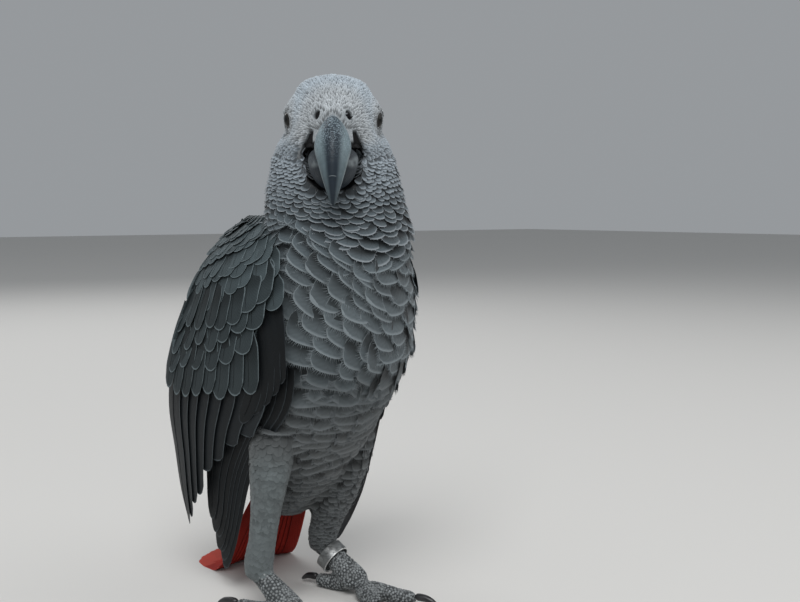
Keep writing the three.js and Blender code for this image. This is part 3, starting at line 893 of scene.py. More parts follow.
def in_rows(solids, pitches, top, bottom, sweep, seed, keep=None, samples=216):
    """Places, normals and ways of feathers in rings round the body, each ring staggered against the one above.
    sweep says how far a row lies over its own height at a turn, which is 0 in front and grows to the bird's left."""
    chance = np.random.default_rng(seed)
    surface = SKIN["surface"]
    region = skin_region(solids)
    tree = BVHTree.FromPolygons(surface.places.tolist(), region.tolist())
    spots = surface.places[np.unique(region)]
    levels = np.linspace(spots[:, 2].min(), spots[:, 2].max(), 40)
    near = [spots[abs(spots[:, 2] - level) < 2.5 * MM] for level in levels]
    middles = np.array([(part.min(0) + part.max(0)) / 2 for part in near])
    turns = np.linspace(-math.pi, math.pi, samples)
    roots, tangents = [], []
    height, row = top, 0
    above = np.full(samples, np.inf)
    while height > bottom:
        heights = height + sweep(height, turns)
        ring = np.full((samples, 3), np.nan)
        for k in range(samples):
            x, y = (float(np.interp(heights[k], levels, middles[:, axis])) for axis in (0, 1))
            hit = tree.ray_cast((x, y, float(heights[k])), (math.sin(turns[k]), -math.cos(turns[k]), 0))
            if hit[0] is not None:
                ring[k] = hit[0]
        seen = ~np.isnan(ring[:, 0])
        along, across = pitches(np.nan_to_num(ring, nan=0.1))
        steps = np.linalg.norm(np.diff(ring, axis=0), axis=1) / across[:-1]
        run = np.concatenate([[0], np.cumsum(np.nan_to_num(steps))])
        count = int(run[-1])
        wanted = np.arange(count) + 0.5 * (row % 2) + 0.25 + chance.normal(0, 0.14, count)
        index = np.interp(wanted, run, np.arange(samples))
        low = np.clip(index.astype(int), 2, samples - 4)
        part = (index - low)[:, None]
        place = ring[low] * (1 - part) + ring[low + 1] * part
        tangent = ring[low + 3] - ring[low - 2]
        good = ~np.isnan(place + tangent).any(1)
        clear = above - heights > 0.45 * along
        above = np.where(clear, heights, above)
        good &= clear[low]
        place[:, 2] += chance.normal(0, 0.13, count) * along[low]
        roots.append(place[good])
        tangents.append(unit(tangent[good]))
        height -= along[seen].mean() * 0.96
        row += 1
    spots, normals, _ = surface.nearest(np.concatenate(roots))
    down = np.cross(np.concatenate(tangents), normals)
    down *= np.where(down[:, 2:] > 0, -1, 1)
    good = np.ones(len(spots), bool) if keep is None else keep(spots)
    return spots[good], normals[good], unit(down[good])


class Region:
    """One region's feathers: where they stand, how they lie and how big they are."""

    def __init__(self, stand, pitches, seed):
        self.chance = np.random.default_rng(seed)
        self.roots, self.normals, self.ways = stand
        self.along, self.across = pitches(self.roots)
        self.number = len(self.roots)

    def vary(self, low, high):
        return self.chance.uniform(low, high, self.number)

    def courses(self, lengths, steps, stray=0.06, back=0.45):
        """Courses that start back from each place by a share of their length."""
        normals = self.normals
        back = back * self.vary(0.9, 1.1)[:, None]
        sides = unit(np.cross(self.ways, normals))
        ways = unit(self.ways + sides * self.chance.normal(0, stray, (self.number, 1)))
        starts = self.roots - unit(ways - normals * (ways * normals).sum(1, keepdims=True)) * lengths[:, None] * back
        return walk(SKIN["surface"], starts, ways, lengths, steps)


# ---- the head's, neck's and trunk's feathers ----
def head_pitches(points):
    points = np.asarray(points)
    face = ramp(-14 * MM, 14 * MM, forward_of(points))
    low = 1 - ramp(178 * MM, 200 * MM, points[:, 2])
    across = blend(1.35, 0.95, face) * blend(1.0, 1.5, low) * MM
    along = blend(1.4, 1.05, face) * blend(1.0, 1.1, low) * MM
    return along, across


def row_pitches(points):
    """Rows stand closer and feathers are narrower on the throat and the belly than on the breast."""
    z = np.asarray(points)[:, 2] / MM
    heights = (48, 68, 84, 98, 136, 149, 156, 163, 170, 177, 184)
    along = np.interp(z, heights, (3.3, 3.6, 4.2, 5.2, 5.3, 3.5, 2.6, 2.0, 1.65, 1.35, 1.15))
    across = np.interp(z, heights, (5.6, 6.4, 8.0, 10.2, 10.6, 9.2, 8.0, 5.2, 3.1, 2.1, 1.6))
    return along * MM, across * MM


def sweep_rows(height, turns):
    """Rows hang down to a low point under the bill and down the breast, steeply on the bird's right side and less
    so on its left one, and climb to the left on the belly."""
    z = height / MM
    middle = np.interp(z, (104, 136, 150, 170), (0.25, 0.25, 0.0, HEAD_TURN))
    slope = np.interp(z, (66, 88, 100, 108, 118, 138, 150, 158, 166, 184), (3, 5, 8, 12, 19, 20, 11, 5, 6, 5))
    lean = np.interp(z, (62, 80, 104), (7.0, 6.0, 0.0))
    off = np.remainder(turns - middle + math.pi, 2 * math.pi) - math.pi
    far = np.minimum(abs(off), 1.35)
    side = np.where(off < 0, 1.0, np.interp(z, (140, 160), (0.5, 1.0)))
    vee = side * (np.hypot(far, 0.15) - 0.15)
    wave = 0.5 * np.sin(3 * turns + z * 0.21) + 0.35 * np.sin(7 * turns - z * 0.34)
    swing = np.interp(z, (68, 100, 140, 156), (0.8, 1.6, 1.6, 0.8))
    back = ramp(1.5, 2.9, abs(off))
    return (slope * vee * (1 - back) + lean * np.sin(turns + 0.5) + wave * swing) * MM


def under_eye(points):
    """False on the eyes and under the bill's root, where no feather grows."""
    points = np.asarray(points)
    clear = np.ones(len(points), bool)
    for name, eye in EYES.items():
        along, away = about_line(points, eye, eye_way(name))
        clear &= (away > 3.5 * MM) | (along < 0)
        nostril = head_point(NOSTRIL[0] * SIDES[name], *NOSTRIL[1:])
        clear &= np.linalg.norm(points - np.array(nostril), axis=1) > 2.9 * MM
    forward, height, left = forward_of(points) / MM, points[:, 2] / MM, abs(leftward_of(points)) / MM
    mouth = (forward > -2) & (height < 188.5) & (left < 9.2) & (height > 172)
    mouth |= beside_bill(points) > 0.5
    mouth |= (forward > 6) & (height < 196) & (height > 184) & (left < 8.8)
    bill = np.interp(height, (186, 188, 191, 194, 197, 200, 201.4, 201.5), (7.6, 7.6, 6.9, 5.8, 4.4, 2.9, 1.2, -1))
    return clear & ~mouth & ~((forward > 6) & (height > 172) & (left < bill))


def head_tints(points, chance):
    """Pale on the crown and the face, darker down the nape and the cheeks."""
    palette = colours()
    z = points[:, 2]
    low = 1 - ramp(174 * MM, 205 * MM, z)
    tint = blend(np.array(palette.head), np.array(palette.head) * 0.45, low[:, None])
    face = face_bareness(points)[:, None]
    tint = blend(tint, np.array((0.44, 0.45, 0.45)), 0.6 * face)
    return tint * chance.uniform(0.86, 1.1, (len(points), 1))


def body_tints(points, chance):
    palette = colours()
    z = points[:, 2]
    tint = blend(np.array(palette.belly), np.array(palette.breast), ramp(75 * MM, 110 * MM, z)[:, None])
    tint = blend(tint, np.array(palette.neck), ramp(138 * MM, 158 * MM, z)[:, None])
    tint = blend(tint, np.array(palette.head) * 0.75, ramp(164 * MM, 186 * MM, z)[:, None])
    return tint * chance.uniform(0.88, 1.1, (len(points), 1))


def small_vanes(seed):
    """The head's tiny feathers: narrow, with a few loose barbs."""
    return [
        Vane((2.2 * MM, 4.6 * MM), 4, 3, narrow_root=0.5, broadest=0.6, end=0.8, tip=0.24, bulge=0.08 * MM, barbs=5,
             barb_length=0.4 * MM, barb_width=0.07 * MM, barbs_from=0.7, seed=seed + k)
        for k in range(4)
    ]


def broad_vanes(seed, barbs=48, barb_length=1.8 * MM):
    """Breast feathers: broad and blunt, with a soft fringe."""
    return [
        Vane((13 * MM, 15 * MM), 10, 6, narrow_root=0.6, broadest=0.6, end=0.93, tip=0.24, bulge=0.25 * MM,
             barbs=barbs, barb_length=barb_length, barb_width=0.1 * MM, barbs_from=0.72, square=2.5, seed=seed + k)
        for k in range(5)
    ]


def belly_vanes(seed, barbs=52):
    """Belly feathers: flat at the tip, so that a row of them makes a band, with a longer fringe."""
    return [
        Vane((13 * MM, 15 * MM), 8, 6, narrow_root=0.7, broadest=0.6, end=0.97, tip=0.14, bulge=0.1 * MM, barbs=barbs,
             barb_length=1.7 * MM, barb_width=0.1 * MM, barbs_from=0.8, square=3.2, seed=seed + k)
        for k in range(5)
    ]


def scale_vanes(seed):
    """Neck feathers: shorter and stiffer than the breast's."""
    return [
        Vane((5.5 * MM, 6 * MM), 6, 4, narrow_root=0.6, broadest=0.6, end=0.86, tip=0.27, bulge=0.12 * MM, barbs=8,
             barb_length=0.45 * MM, barb_width=0.08 * MM, barbs_from=0.7, seed=seed + k)
        for k in range(4)
    ]


def cover(coat, region, vanes, depth, tints, span=2.7, widen=1.3, camber=0.3, roll=0.2, tilt=0.1, stray=0.06,
          steps=6, low=0.0, curl=0.0, back=0.45, rock=0.03):
    """Lays a region's feathers. span is a feather's length over the space between rows, widen its width over the
    space between neighbours, and camber, roll and rock are shares of its half width."""
    lengths = region.along * span * region.vary(0.92, 1.08)
    halves = region.across * widen / 2 * region.vary(0.9, 1.1)
    course = region.courses(lengths, steps, stray, back)
    tones = region.vary(0, 1)
    kinds = region.chance.integers(0, len(vanes), region.number)
    tips = depth * (1 + region.chance.normal(0, tilt, region.number))
    rolls = halves * region.chance.normal(roll, rock, region.number)
    places = on_unwrap(region.roots, 0.0, CROWN)
    shades = tints(region.roots, region.chance)
    for kind, vane in enumerate(vanes):
        some = kinds == kind
        if some.any():
            picked = Course(course.middles[some], course.normals[some])
            coat.lay(
                vane, picked, halves[some], (np.full(some.sum(), low), tips[some]), tones[some], shades[some],
                places[some], camber=halves[some] * camber, roll=rolls[some], curl=curl,
            )


class PARROT_OT_skin(bpy.types.Operator):
    """Makes the one skin that runs under the whole coat and down to the toes"""

    bl_idname = "parrot.skin"
    bl_label = "Skin"

    def execute(self, context):
        finish_piece(new_object("skin", make_skin()), skin_finish(), FLESH, sharp=180)
        return {"FINISHED"}


class PARROT_OT_head_coat(bpy.types.Operator):
    """Grows the small feathers of the head"""

    bl_idname = "parrot.head_coat"
    bl_label = "Head feathers"

    def execute(self, context):
        finish = feather_finish(
            "head feathers", (0.60, 0.64, 0.68), 0.3, (0.75, 0.8), 0.6, 0.2, 0.5, (0.3, 0.8), 0.04, 0.75)
        stand = scattered(["head", "neck"], head_pitches, head_lie, 11, above_throat)
        front = forward_of(stand[0]) > 2 * MM
        for name, some, seed in (("face", front, 12), ("crown", ~front, 13)):
            region = Region([part[some] for part in stand], head_pitches, seed)
            low = 1 - ramp(178 * MM, 192 * MM, region.roots[:, 2])
            depth = sizes().head_coat * (0.6 - 0.3 * face_bareness(region.roots) + 0.25 * low)
            coat = Coat()
            cover(coat, region, small_vanes(21), depth, head_tints, span=2.5, widen=1.4, roll=0.0, stray=0.09,
                  rock=0.1)
            coat.piece(f"coat_{name}", finish, "head_feathers")
        return {"FINISHED"}


THROAT = 180 * MM  # where rows of broader feathers take over from the head's small ones


def above_throat(points):
    points = np.asarray(points)
    middle = (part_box("head")[0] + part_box("head")[1]) / 2
    turns = np.arctan2(points[:, 0] - middle.x, middle.y - points[:, 1])
    ragged = 1.2 * MM * (np.sin(11 * turns) + np.sin(27 * turns + 1))
    return under_eye(points) & (points[:, 2] > THROAT - 4 * MM + sweep_rows(THROAT, turns) + ragged)


class PARROT_OT_neck_coat(bpy.types.Operator):
    """Grows the scale-like feathers of the neck"""

    bl_idname = "parrot.neck_coat"
    bl_label = "Neck feathers"

    def execute(self, context):
        rows = in_rows(["head", "neck", "trunk"], row_pitches, THROAT, BREAST_TOP, sweep_rows, 31, under_eye)
        region = Region(rows, row_pitches, 32)
        coat = Coat()
        height, left = region.roots[:, 2] / MM, leftward_of(region.roots) / MM
        collar = 1.8 * MM * np.exp(-(((height - 157) / 7) ** 2)) * ramp(4, 20, left)
        depth = np.interp(height, (160, 188), (0.95, 0.4)) * sizes().body_coat + collar
        cover(coat, region, scale_vanes(33), depth, body_tints, span=2.8, widen=1.35, camber=0.12, roll=0.05,
              tilt=0.15, curl=1.5 * MM)
        finish = feather_finish(
            "neck feathers", (0.29, 0.32, 0.345), 0.75, (0.94, 0.88), 0.85, 0.06, 0.22, (0.55, 0.9), 0.05, 0.75)
        coat.piece("coat_neck", finish, "neck_feathers")
        return {"FINISHED"}


BREAST_TOP = 149 * MM
BELLY_TOP = 108 * MM
VENT = 60 * MM


def body_finish():
    return feather_finish(
        "body feathers", (0.27, 0.31, 0.33), 0.55, (0.96, 0.91), 0.9, 0.03, 0.3, (0.52, 0.88), 0.04, 0.8)


def belly_finish():
    """The same without pale sides, so that a row of feathers makes one soft band."""
    return feather_finish(
        "belly feathers", (0.21, 0.23, 0.24), 0.4, (0.985, 0.88), 0.95, 0.03, 0.3, (0.55, 0.95), 0.04, 0.9)


class PARROT_OT_body_coat(bpy.types.Operator):
    """Grows the broad, soft feathers of the trunk and the rump"""

    bl_idname = "parrot.body_coat"
    bl_label = "Body feathers"

    def execute(self, context):
        rows = in_rows(["trunk", "neck"], row_pitches, BREAST_TOP - 2 * MM, VENT, sweep_rows, 41)
        belly = rows[0][:, 2] < BELLY_TOP
        breast_coat, belly_coat = Coat(), Coat()
        for coat, some, vanes, curl, widen, roll, seed in (
            (breast_coat, ~belly, broad_vanes(43), 4 * MM, 1.5, 0.1, 42),
            (belly_coat, belly, belly_vanes(60), 2 * MM, 1.95, 0.03, 40),
        ):
            region = Region([part[some] for part in rows], row_pitches, seed)
            cover(coat, region, vanes, sizes().body_coat, body_tints, span=2.9, widen=widen, camber=0.06, roll=roll,
                  tilt=0.1, curl=curl)
        low = scattered(["trunk", "rump"], row_pitches, head_lie, 44, lambda points: points[:, 2] < VENT)
        cover(belly_coat, Region(low, row_pitches, 45), belly_vanes(46), sizes().body_coat * 0.8, body_tints,
              span=2.8, widen=1.5, camber=0.06, roll=0.0)
        breast_coat.piece("coat_breast", body_finish(), "body_feathers")
        belly_coat.piece("coat_belly", belly_finish(), "body_feathers")
        return {"FINISHED"}


# ---- legs ----
def thigh_lie(points):
    return unit(np.tile((0.0, -0.12, -1.0), (len(points), 1)))


class PARROT_OT_thigh_coat(bpy.types.Operator):
    """Grows the short, smooth feathers of the thighs"""

    bl_idname = "parrot.thigh_coat"
    bl_label = "Thigh feathers"

    def execute(self, context):
        def pitches(points):
            z = np.asarray(points)[:, 2] / MM
            return np.interp(z, (26, 58, 80), (1.3, 1.6, 2.2)) * MM, np.interp(z, (26, 58, 80), (1.5, 1.8, 2.6)) * MM

        def ruffled(points):
            z = np.asarray(points)[:, 2] / MM
            return np.interp(z, (26, 40, 70), (1.4, 2.0, 3.4)) * MM, np.interp(z, (26, 40, 70), (1.7, 2.8, 5.0)) * MM

        def tints(points, chance):
            z = points[:, 2] / MM + 1.2 * np.sin(points[:, 0] * 260)
            # creases is painted shade: darker bands along the thigh's creases at these heights
            creases = sum(np.exp(-(((z - crease) / 0.7) ** 2)) for crease in (36, 40.5, 44, 51, 58.5, 64))
            # top gives the thigh's top the belly's own colour, darkened to 0.85 of it as painted shade
            top = ramp(60, 76, z)[:, None]
            tint = blend(np.array(colours().thigh), np.array(colours().belly) * 0.85, top)
            return tint * chance.uniform(0.94, 1.05, (len(points), 1)) * (1 - 0.22 * creases[:, None])

        vanes = [
            Vane((4 * MM, 6 * MM), 4, 4, narrow_root=0.7, broadest=0.5, end=0.9, tip=0.25, bulge=0.06 * MM, barbs=5,
                 barb_length=0.5 * MM, barb_width=0.07 * MM, barbs_from=0.8, seed=49 + k)
            for k in range(3)
        ]
        smooth = feather_finish(
            "thigh feathers", (0.20, 0.22, 0.22), 0.2, (0.9, 0.9), 0.97, 0.1, 0.8, (0.4, 0.9), 0.03, 0.85)
        region = Region(scattered(["thigh_right"], pitches, thigh_lie, 47), pitches, 48)
        depth = np.interp(region.roots[:, 2] / MM, (56, 78), (0.4, 0.9)) * sizes().thigh_coat
        coat = Coat()
        cover(coat, region, vanes, depth, tints, span=3.2, widen=1.7, roll=0.0, tilt=0.1, camber=0.1)
        coat.piece("coat_thigh_right", smooth, "thigh_feathers")
        region = Region(scattered(["thigh_left"], ruffled, thigh_lie, 44), ruffled, 45)
        depth = np.interp(region.roots[:, 2] / MM, (30, 60), (0.5, 1.1)) * sizes().thigh_coat
        coat = Coat()
        cover(coat, region, belly_vanes(64, 28), depth, body_tints, span=2.8, widen=1.7, roll=0.05, tilt=0.15, camber=0.1)
        coat.piece("coat_thigh_left", belly_finish(), "thigh_feathers")
        return {"FINISHED"}


# ---- wings ----
# A wing's edges from the shoulder to the tip, in millimetres: outboard and back from the body's axis, and up.
LEADING_EDGES = {
    "right": ((27, -9, 160), (32, -20, 144), (34, -27, 130), (33.5, -31, 114), (31, -26, 94), (32, -9, 77),
              (32, 6, 58), (32, 14, 36), (31, 27, 10)),
    "left": ((27, -9, 160), (33, -17, 144), (35.5, -18, 130), (36.8, -17, 114), (36.4, -11, 96), (35.5, -4, 79),
             (35, 2, 60), (33, 8, 38), (33, 26, 12)),
}
TRAILING_EDGE = ((22, 21, 161), (31, 27, 150), (37, 32, 138), (41.5, 38, 119), (45.5, 43, 98), (45.5, 46, 80),
                 (42, 49, 61), (38.5, 52, 42), (35, 53, 27))
BESIDE_SPINE = ((14, 10, 156), (12, 16, 149), (9, 21, 140), (9, 26, 129), (10, 30, 117))
TAIL_LINE = ((0, 30, 48), (0, 38, 34), (0, 46, 20), (0, 55, 6.5), (0, 65, 0.4), (0, 75.5, 0.4), (0, 86, 0.4))


def body_path(points, side=1):
    """A curve through places given in millimetres from the body's axis, mirrored for the right side."""
    return smooth_path([np.array(BODY_AXIS) + np.array((side * x, y, z)) * MM for x, y, z in points])


class Sheet:
    """A curved sheet on which feathers lie: s runs from root to tip and c across. facing is +1 or -1, to turn its
    upper side outwards."""

    def __init__(self, spot, facing):
        self.spot, self.facing = spot, facing

    def normal(self, s, c):
        step = 0.02
        down = self.spot(s + step, c) - self.spot(s - step, c)
        back = self.spot(s, c + step) - self.spot(s, c - step)
        return unit(np.cross(back, down)) * self.facing

    def courses(self, roots, tips, steps):
        """Courses between places that are given by s and c."""
        share = np.linspace(0, 1, steps)[None, :, None]
        run = roots[:, None] * (1 - share) + tips[:, None] * share
        s, c = run[..., 0], run[..., 1]
        return Course(self.spot(s, c), self.normal(s, c))


def wing_sheet(name):
    side = SIDES[name]
    leading, trailing = body_path(LEADING_EDGES[name], side), body_path(TRAILING_EDGE, side)

    def spot(s, c):
        s, c = np.broadcast_arrays(np.asarray(s, float), np.asarray(c, float))
        along = np.clip(s, 0, 1)
        c3 = c[..., None]
        place = leading(along) * (1 - c3) + trailing(along) * c3
        step = 0.004
        low, high = np.clip(along - step, 0, 1), np.clip(along + step, 0, 1)
        run = unit(leading(high) - leading(low)) * (1 - c3) + unit(trailing(high) - trailing(low)) * c3
        beyond = run * (WING_LENGTH * (s - along))[..., None]
        bow = WING_BOW * np.sin(math.pi * np.clip(c, 0, 1)) * (1 - 0.7 * along) * np.minimum(1, 0.3 + 3 * along)
        return place + beyond + bow[..., None] * (side, -0.3, 0)

    return Sheet(spot, -side)


def shoulder_sheet(name):
    side = SIDES[name]
    spine, trailing = body_path(BESIDE_SPINE, side), body_path(TRAILING_EDGE, side)
    out = np.array(Vector((side * 0.45, 0.87, 0.2)).normalized())

    def spot(s, c):
        s, c = np.broadcast_arrays(np.asarray(s, float), np.asarray(c, float))
        c3 = c[..., None]
        place = spine(s) * (1 - 0.97 * c3) + trailing(blend(0.06, 0.46, np.clip(s, 0, 1.2))) * 0.97 * c3
        bulge = 5 * MM * np.sin(math.pi * np.clip(c, 0, 1)) * np.sin(math.pi * blend(0.15, 0.9, np.clip(s, 0, 1)))
        return place + bulge[..., None] * out

    return Sheet(spot, side)


def tail_sheet():
    """The tail as a sheet: s runs down it and c across, from -1 at its right edge to 1 at its left one."""
    line = body_path(TAIL_LINE)

    def spot(s, c):
        s, c = np.broadcast_arrays(np.asarray(s, float), np.asarray(c, float))
        half = blend(9.0, 24.0, np.clip(s, 0, 1.1)) * MM
        place = line(s) + np.stack([c * half, -3 * MM * c * c * s, np.zeros_like(s)], -1)
        return place

    return Sheet(spot, -1)


def lay_row(coat, sheet, vane, roots, tips, halves, lifts, tint, chance, camber=0.0, roll=0.0, steps=8, hand=1,
            curl=0.0, rise=1.0):
    """Lays a row of feathers between places on a sheet."""
    number = len(roots)
    course = sheet.courses(np.asarray(roots), np.asarray(tips), steps)
    tints = np.array(tint) * chance.uniform(0.86, 1.12, (number, 1))
    map_places = np.stack([np.asarray(roots)[:, 1] * 0.6 + 0.2, np.asarray(roots)[:, 0]], 1)
    coat.lay(
        vane, course, halves, lifts, chance.uniform(0, 1, number), tints, map_places, camber=camber, roll=roll,
        hand=hand, curl=curl, rise=rise,
    )


def spread_row(count, across, root_s, tip_s, chance, lean=0.0, jitter=0.012):
    """Roots and tips of a row. across is the range of c, and root_s and tip_s give s for a share of the row."""
    share = (np.arange(count) + 0.5) / count
    c = blend(across[0], across[1], share) + chance.normal(0, jitter, count)
    roots = np.stack([root_s(share) + chance.normal(0, jitter * 0.5, count), c], 1)
    tips = np.stack([tip_s(share) + chance.normal(0, jitter * 0.8, count), c + lean], 1)
    return roots, tips, share


def covert_vane(size, seed, columns=8, rows=7, barbs=8):
    return Vane(size, columns, rows, narrow_root=0.6, broadest=0.45, end=0.92, tip=0.31, bulge=0.2 * MM,
                barbs=barbs, barb_length=0.5 * MM, barb_width=0.1 * MM, barbs_from=0.8, shaft=0.12 * MM, square=2.1,
                seed=seed)


def flight_vane(size, seed, tip=0.09, end=0.8, barbs=0, barb_length=0.9 * MM):
    return Vane(size, 8, 20, narrow_root=0.7, broadest=0.3, end=end, tip=tip, bulge=0.16 * MM, barbs=barbs,
                barb_length=barb_length, barb_width=0.12 * MM, barbs_from=0.93, shaft=0.3 * MM, seed=seed)


def flat(value):
    return lambda share: np.full_like(share, value)


def arm_top(s, c):
    """How high the arm's upper side stands over the sheet."""
    rim = np.minimum.reduce([np.ones_like(s), 5 * np.minimum(c, 1 - c) + 0.2, 5 * s / ARM_END + 0.2])
    past = 1 - ramp(ARM_END - 0.02, ARM_END + 0.1, s)
    return (1 + 2.2 * np.clip(rim, 0.2, 1) * np.clip(1 - s / ARM_END, 0, 1)) * MM * past


class PARROT_OT_wing_coverts(bpy.types.Operator):
    """Lays the rows of small, median and greater coverts on both wings"""

    bl_idname = "parrot.wing_coverts"
    bl_label = "Wing coverts"

    def execute(self, context):
        finish = feather_finish("covert feathers", (0.17, 0.21, 0.225), 0.75, (0.88, 0.965), 0.5, 0.05, 0.5,
                                (0.3, 0.8), 0.06, 0.6, 0.02, 90.0, 0.1)
        for name, side in SIDES.items():
            self.cover_arm(name, side, finish)
        return {"FINISHED"}

    def cover_arm(self, name, side, finish):
        chance = np.random.default_rng(51 + side)
        sheet = wing_sheet(name)
        tint = np.array(colours().covert)
        coat = Coat()
        self.cover_edges(coat, name, sheet, side)
        self.lesser_rows(coat, sheet, side, tint, chance)
        self.median_rows(coat, sheet, side, tint, chance)
        greater = covert_vane((12 * MM, 34 * MM), 62, 8, 12, 0)
        share = np.linspace(0, 1, 8)
        tip_c = blend(0.24, 0.98, share)
        s = np.interp(tip_c, (0.2, 0.45, 0.7, 1.0), (0.5, 0.53, 0.555, 0.545)) + chance.normal(0, 0.008, 8)
        roots = np.stack([np.full(8, 0.33), blend(0.26, 1.0, share)], 1)
        lay_row(coat, sheet, greater, roots, np.stack([s, tip_c], 1), np.full(8, 5.8 * MM),
                (1.4 * MM, 0.9 * MM + share * 0.5 * MM), tint * 0.6, chance, camber=0.3 * MM, roll=-0.6 * MM,
                hand=-side)
        coat.piece(f"coverts_{name}", finish, "wing_feathers", [f"wing_{name}_coverts"])

    def lesser_rows(self, coat, sheet, side, tint, chance):
        """Rows of small coverts, each one a scallop."""
        vanes = [covert_vane((8 * MM, 14 * MM), 53 + k, 10, 6, 0) for k in range(3)]
        tip, row = -0.13, 0
        while tip < 0.29:
            wide = float(np.interp(tip, (-0.1, 0.0, 0.12), (5.0, 7.2, 8.4)))
            step = float(np.interp(tip, (-0.1, 0.0, 0.12), (0.03, 0.038, 0.043)))
            count = int(round(66 / wide))
            offset = 0.5 * (row % 2) / count
            reach = 2.4 * step
            roots, tips, share = spread_row(
                count, (-0.04 + offset, 0.98 + offset), lambda x: tip - reach + 0.22 * x, lambda x: tip + 0.22 * x,
                chance, jitter=0.011)
            last = np.interp(tips[:, 1], (0.0, 0.12, 0.2, 1.0), (0.3, 0.29, 0.23, 0.41))
            keep = (tips[:, 0] > 0.012) & (tips[:, 0] < last)
            if not keep.any():
                break
            roots, tips = np.maximum(roots[keep], (-0.015, -1)), tips[keep]
            root_lift = arm_top(roots[:, 0], roots[:, 1]) - 1.2 * MM
            tip_lift = arm_top(tips[:, 0], tips[:, 1]) + chance.uniform(0.2, 0.6, len(tips)) * MM
            lay_row(coat, sheet, vanes[row % 3], roots, tips, wide * 0.66 * MM * blend(1.0, 0.85, share[keep]),
                    (root_lift, tip_lift), tint * 1.1, chance, camber=0.2 * MM, roll=-0.4 * MM, hand=-side)
            tip += step
            row += 1

    def median_rows(self, coat, sheet, side, tint, chance):
        """Three rows of broad, blunt coverts."""
        vane = covert_vane((14 * MM, 24 * MM), 61, 12, 8, 0)
        for layer, (first, count) in enumerate(((0.12, 8), (0.2, 7), (0.3, 6))):
            share = np.linspace(0, 1, count)
            c = blend(first, 0.97, share) + chance.normal(0, 0.01, count)
            s = np.interp(c, (0.1, 0.33, 0.5, 0.66, 0.8, 0.95), (0.27, 0.315, 0.35, 0.365, 0.38, 0.4))
            s += 0.052 * layer + chance.normal(0, 0.008, count)
            tips = np.stack([s, c], 1)
            roots = np.stack([s - 0.14, c - 0.02], 1)
            lifts = (arm_top(roots[:, 0], roots[:, 1]) - (0.9 + 0.3 * layer) * MM,
                     np.maximum(arm_top(tips[:, 0], tips[:, 1]) + (1.3 - 0.2 * layer) * MM, 1.9 * MM))
            lay_row(coat, sheet, vane, roots, tips, blend(7.2, 5.4, share) * MM, lifts, tint * 0.68, chance,
                    camber=0.2 * MM, roll=-0.65 * MM, hand=-side)

    def cover_edges(self, coat, name, sheet, side):
        """Short feathers all over the arm, which stay seen only on its edges and its under side."""
        def pitches(points):
            return np.full(len(points), 3.4 * MM), np.full(len(points), 4.2 * MM)

        def lie(points):
            return np.tile(unit(sheet.spot(0.4, 0.3) - sheet.spot(0.05, 0.3)), (len(points), 1))

        s, c = np.meshgrid(np.linspace(-0.04, ARM_END, 24), np.linspace(0, 1, 16))
        spots, ups = sheet.spot(s.ravel(), c.ravel()), sheet.normal(s.ravel(), c.ravel())
        lowest = sheet.spot(ARM_END, 0.5)[2] + 8 * MM

        def hidden(points):
            nearest = ((points[:, None] - spots[None]) ** 2).sum(2).argmin(1)
            above = ((points - spots[nearest]) * ups[nearest]).sum(1)
            return (points[:, 2] > lowest) & (above < 0.4 * MM)

        stand = scattered([f"wing_{name}_arm"], pitches, lie, 52 + side, hidden)
        region = Region(stand, pitches, 50 + side)
        vanes = [covert_vane((7 * MM, 12 * MM), 57 + k, 6, 4, 0) for k in range(2)]
        tint = np.array(colours().covert) * 0.9
        cover(coat, region, vanes, 0.7 * MM, lambda points, c: tint * c.uniform(0.85, 1.2, (len(points), 1)),
              span=2.6, widen=1.5, camber=0.1, roll=0.0)


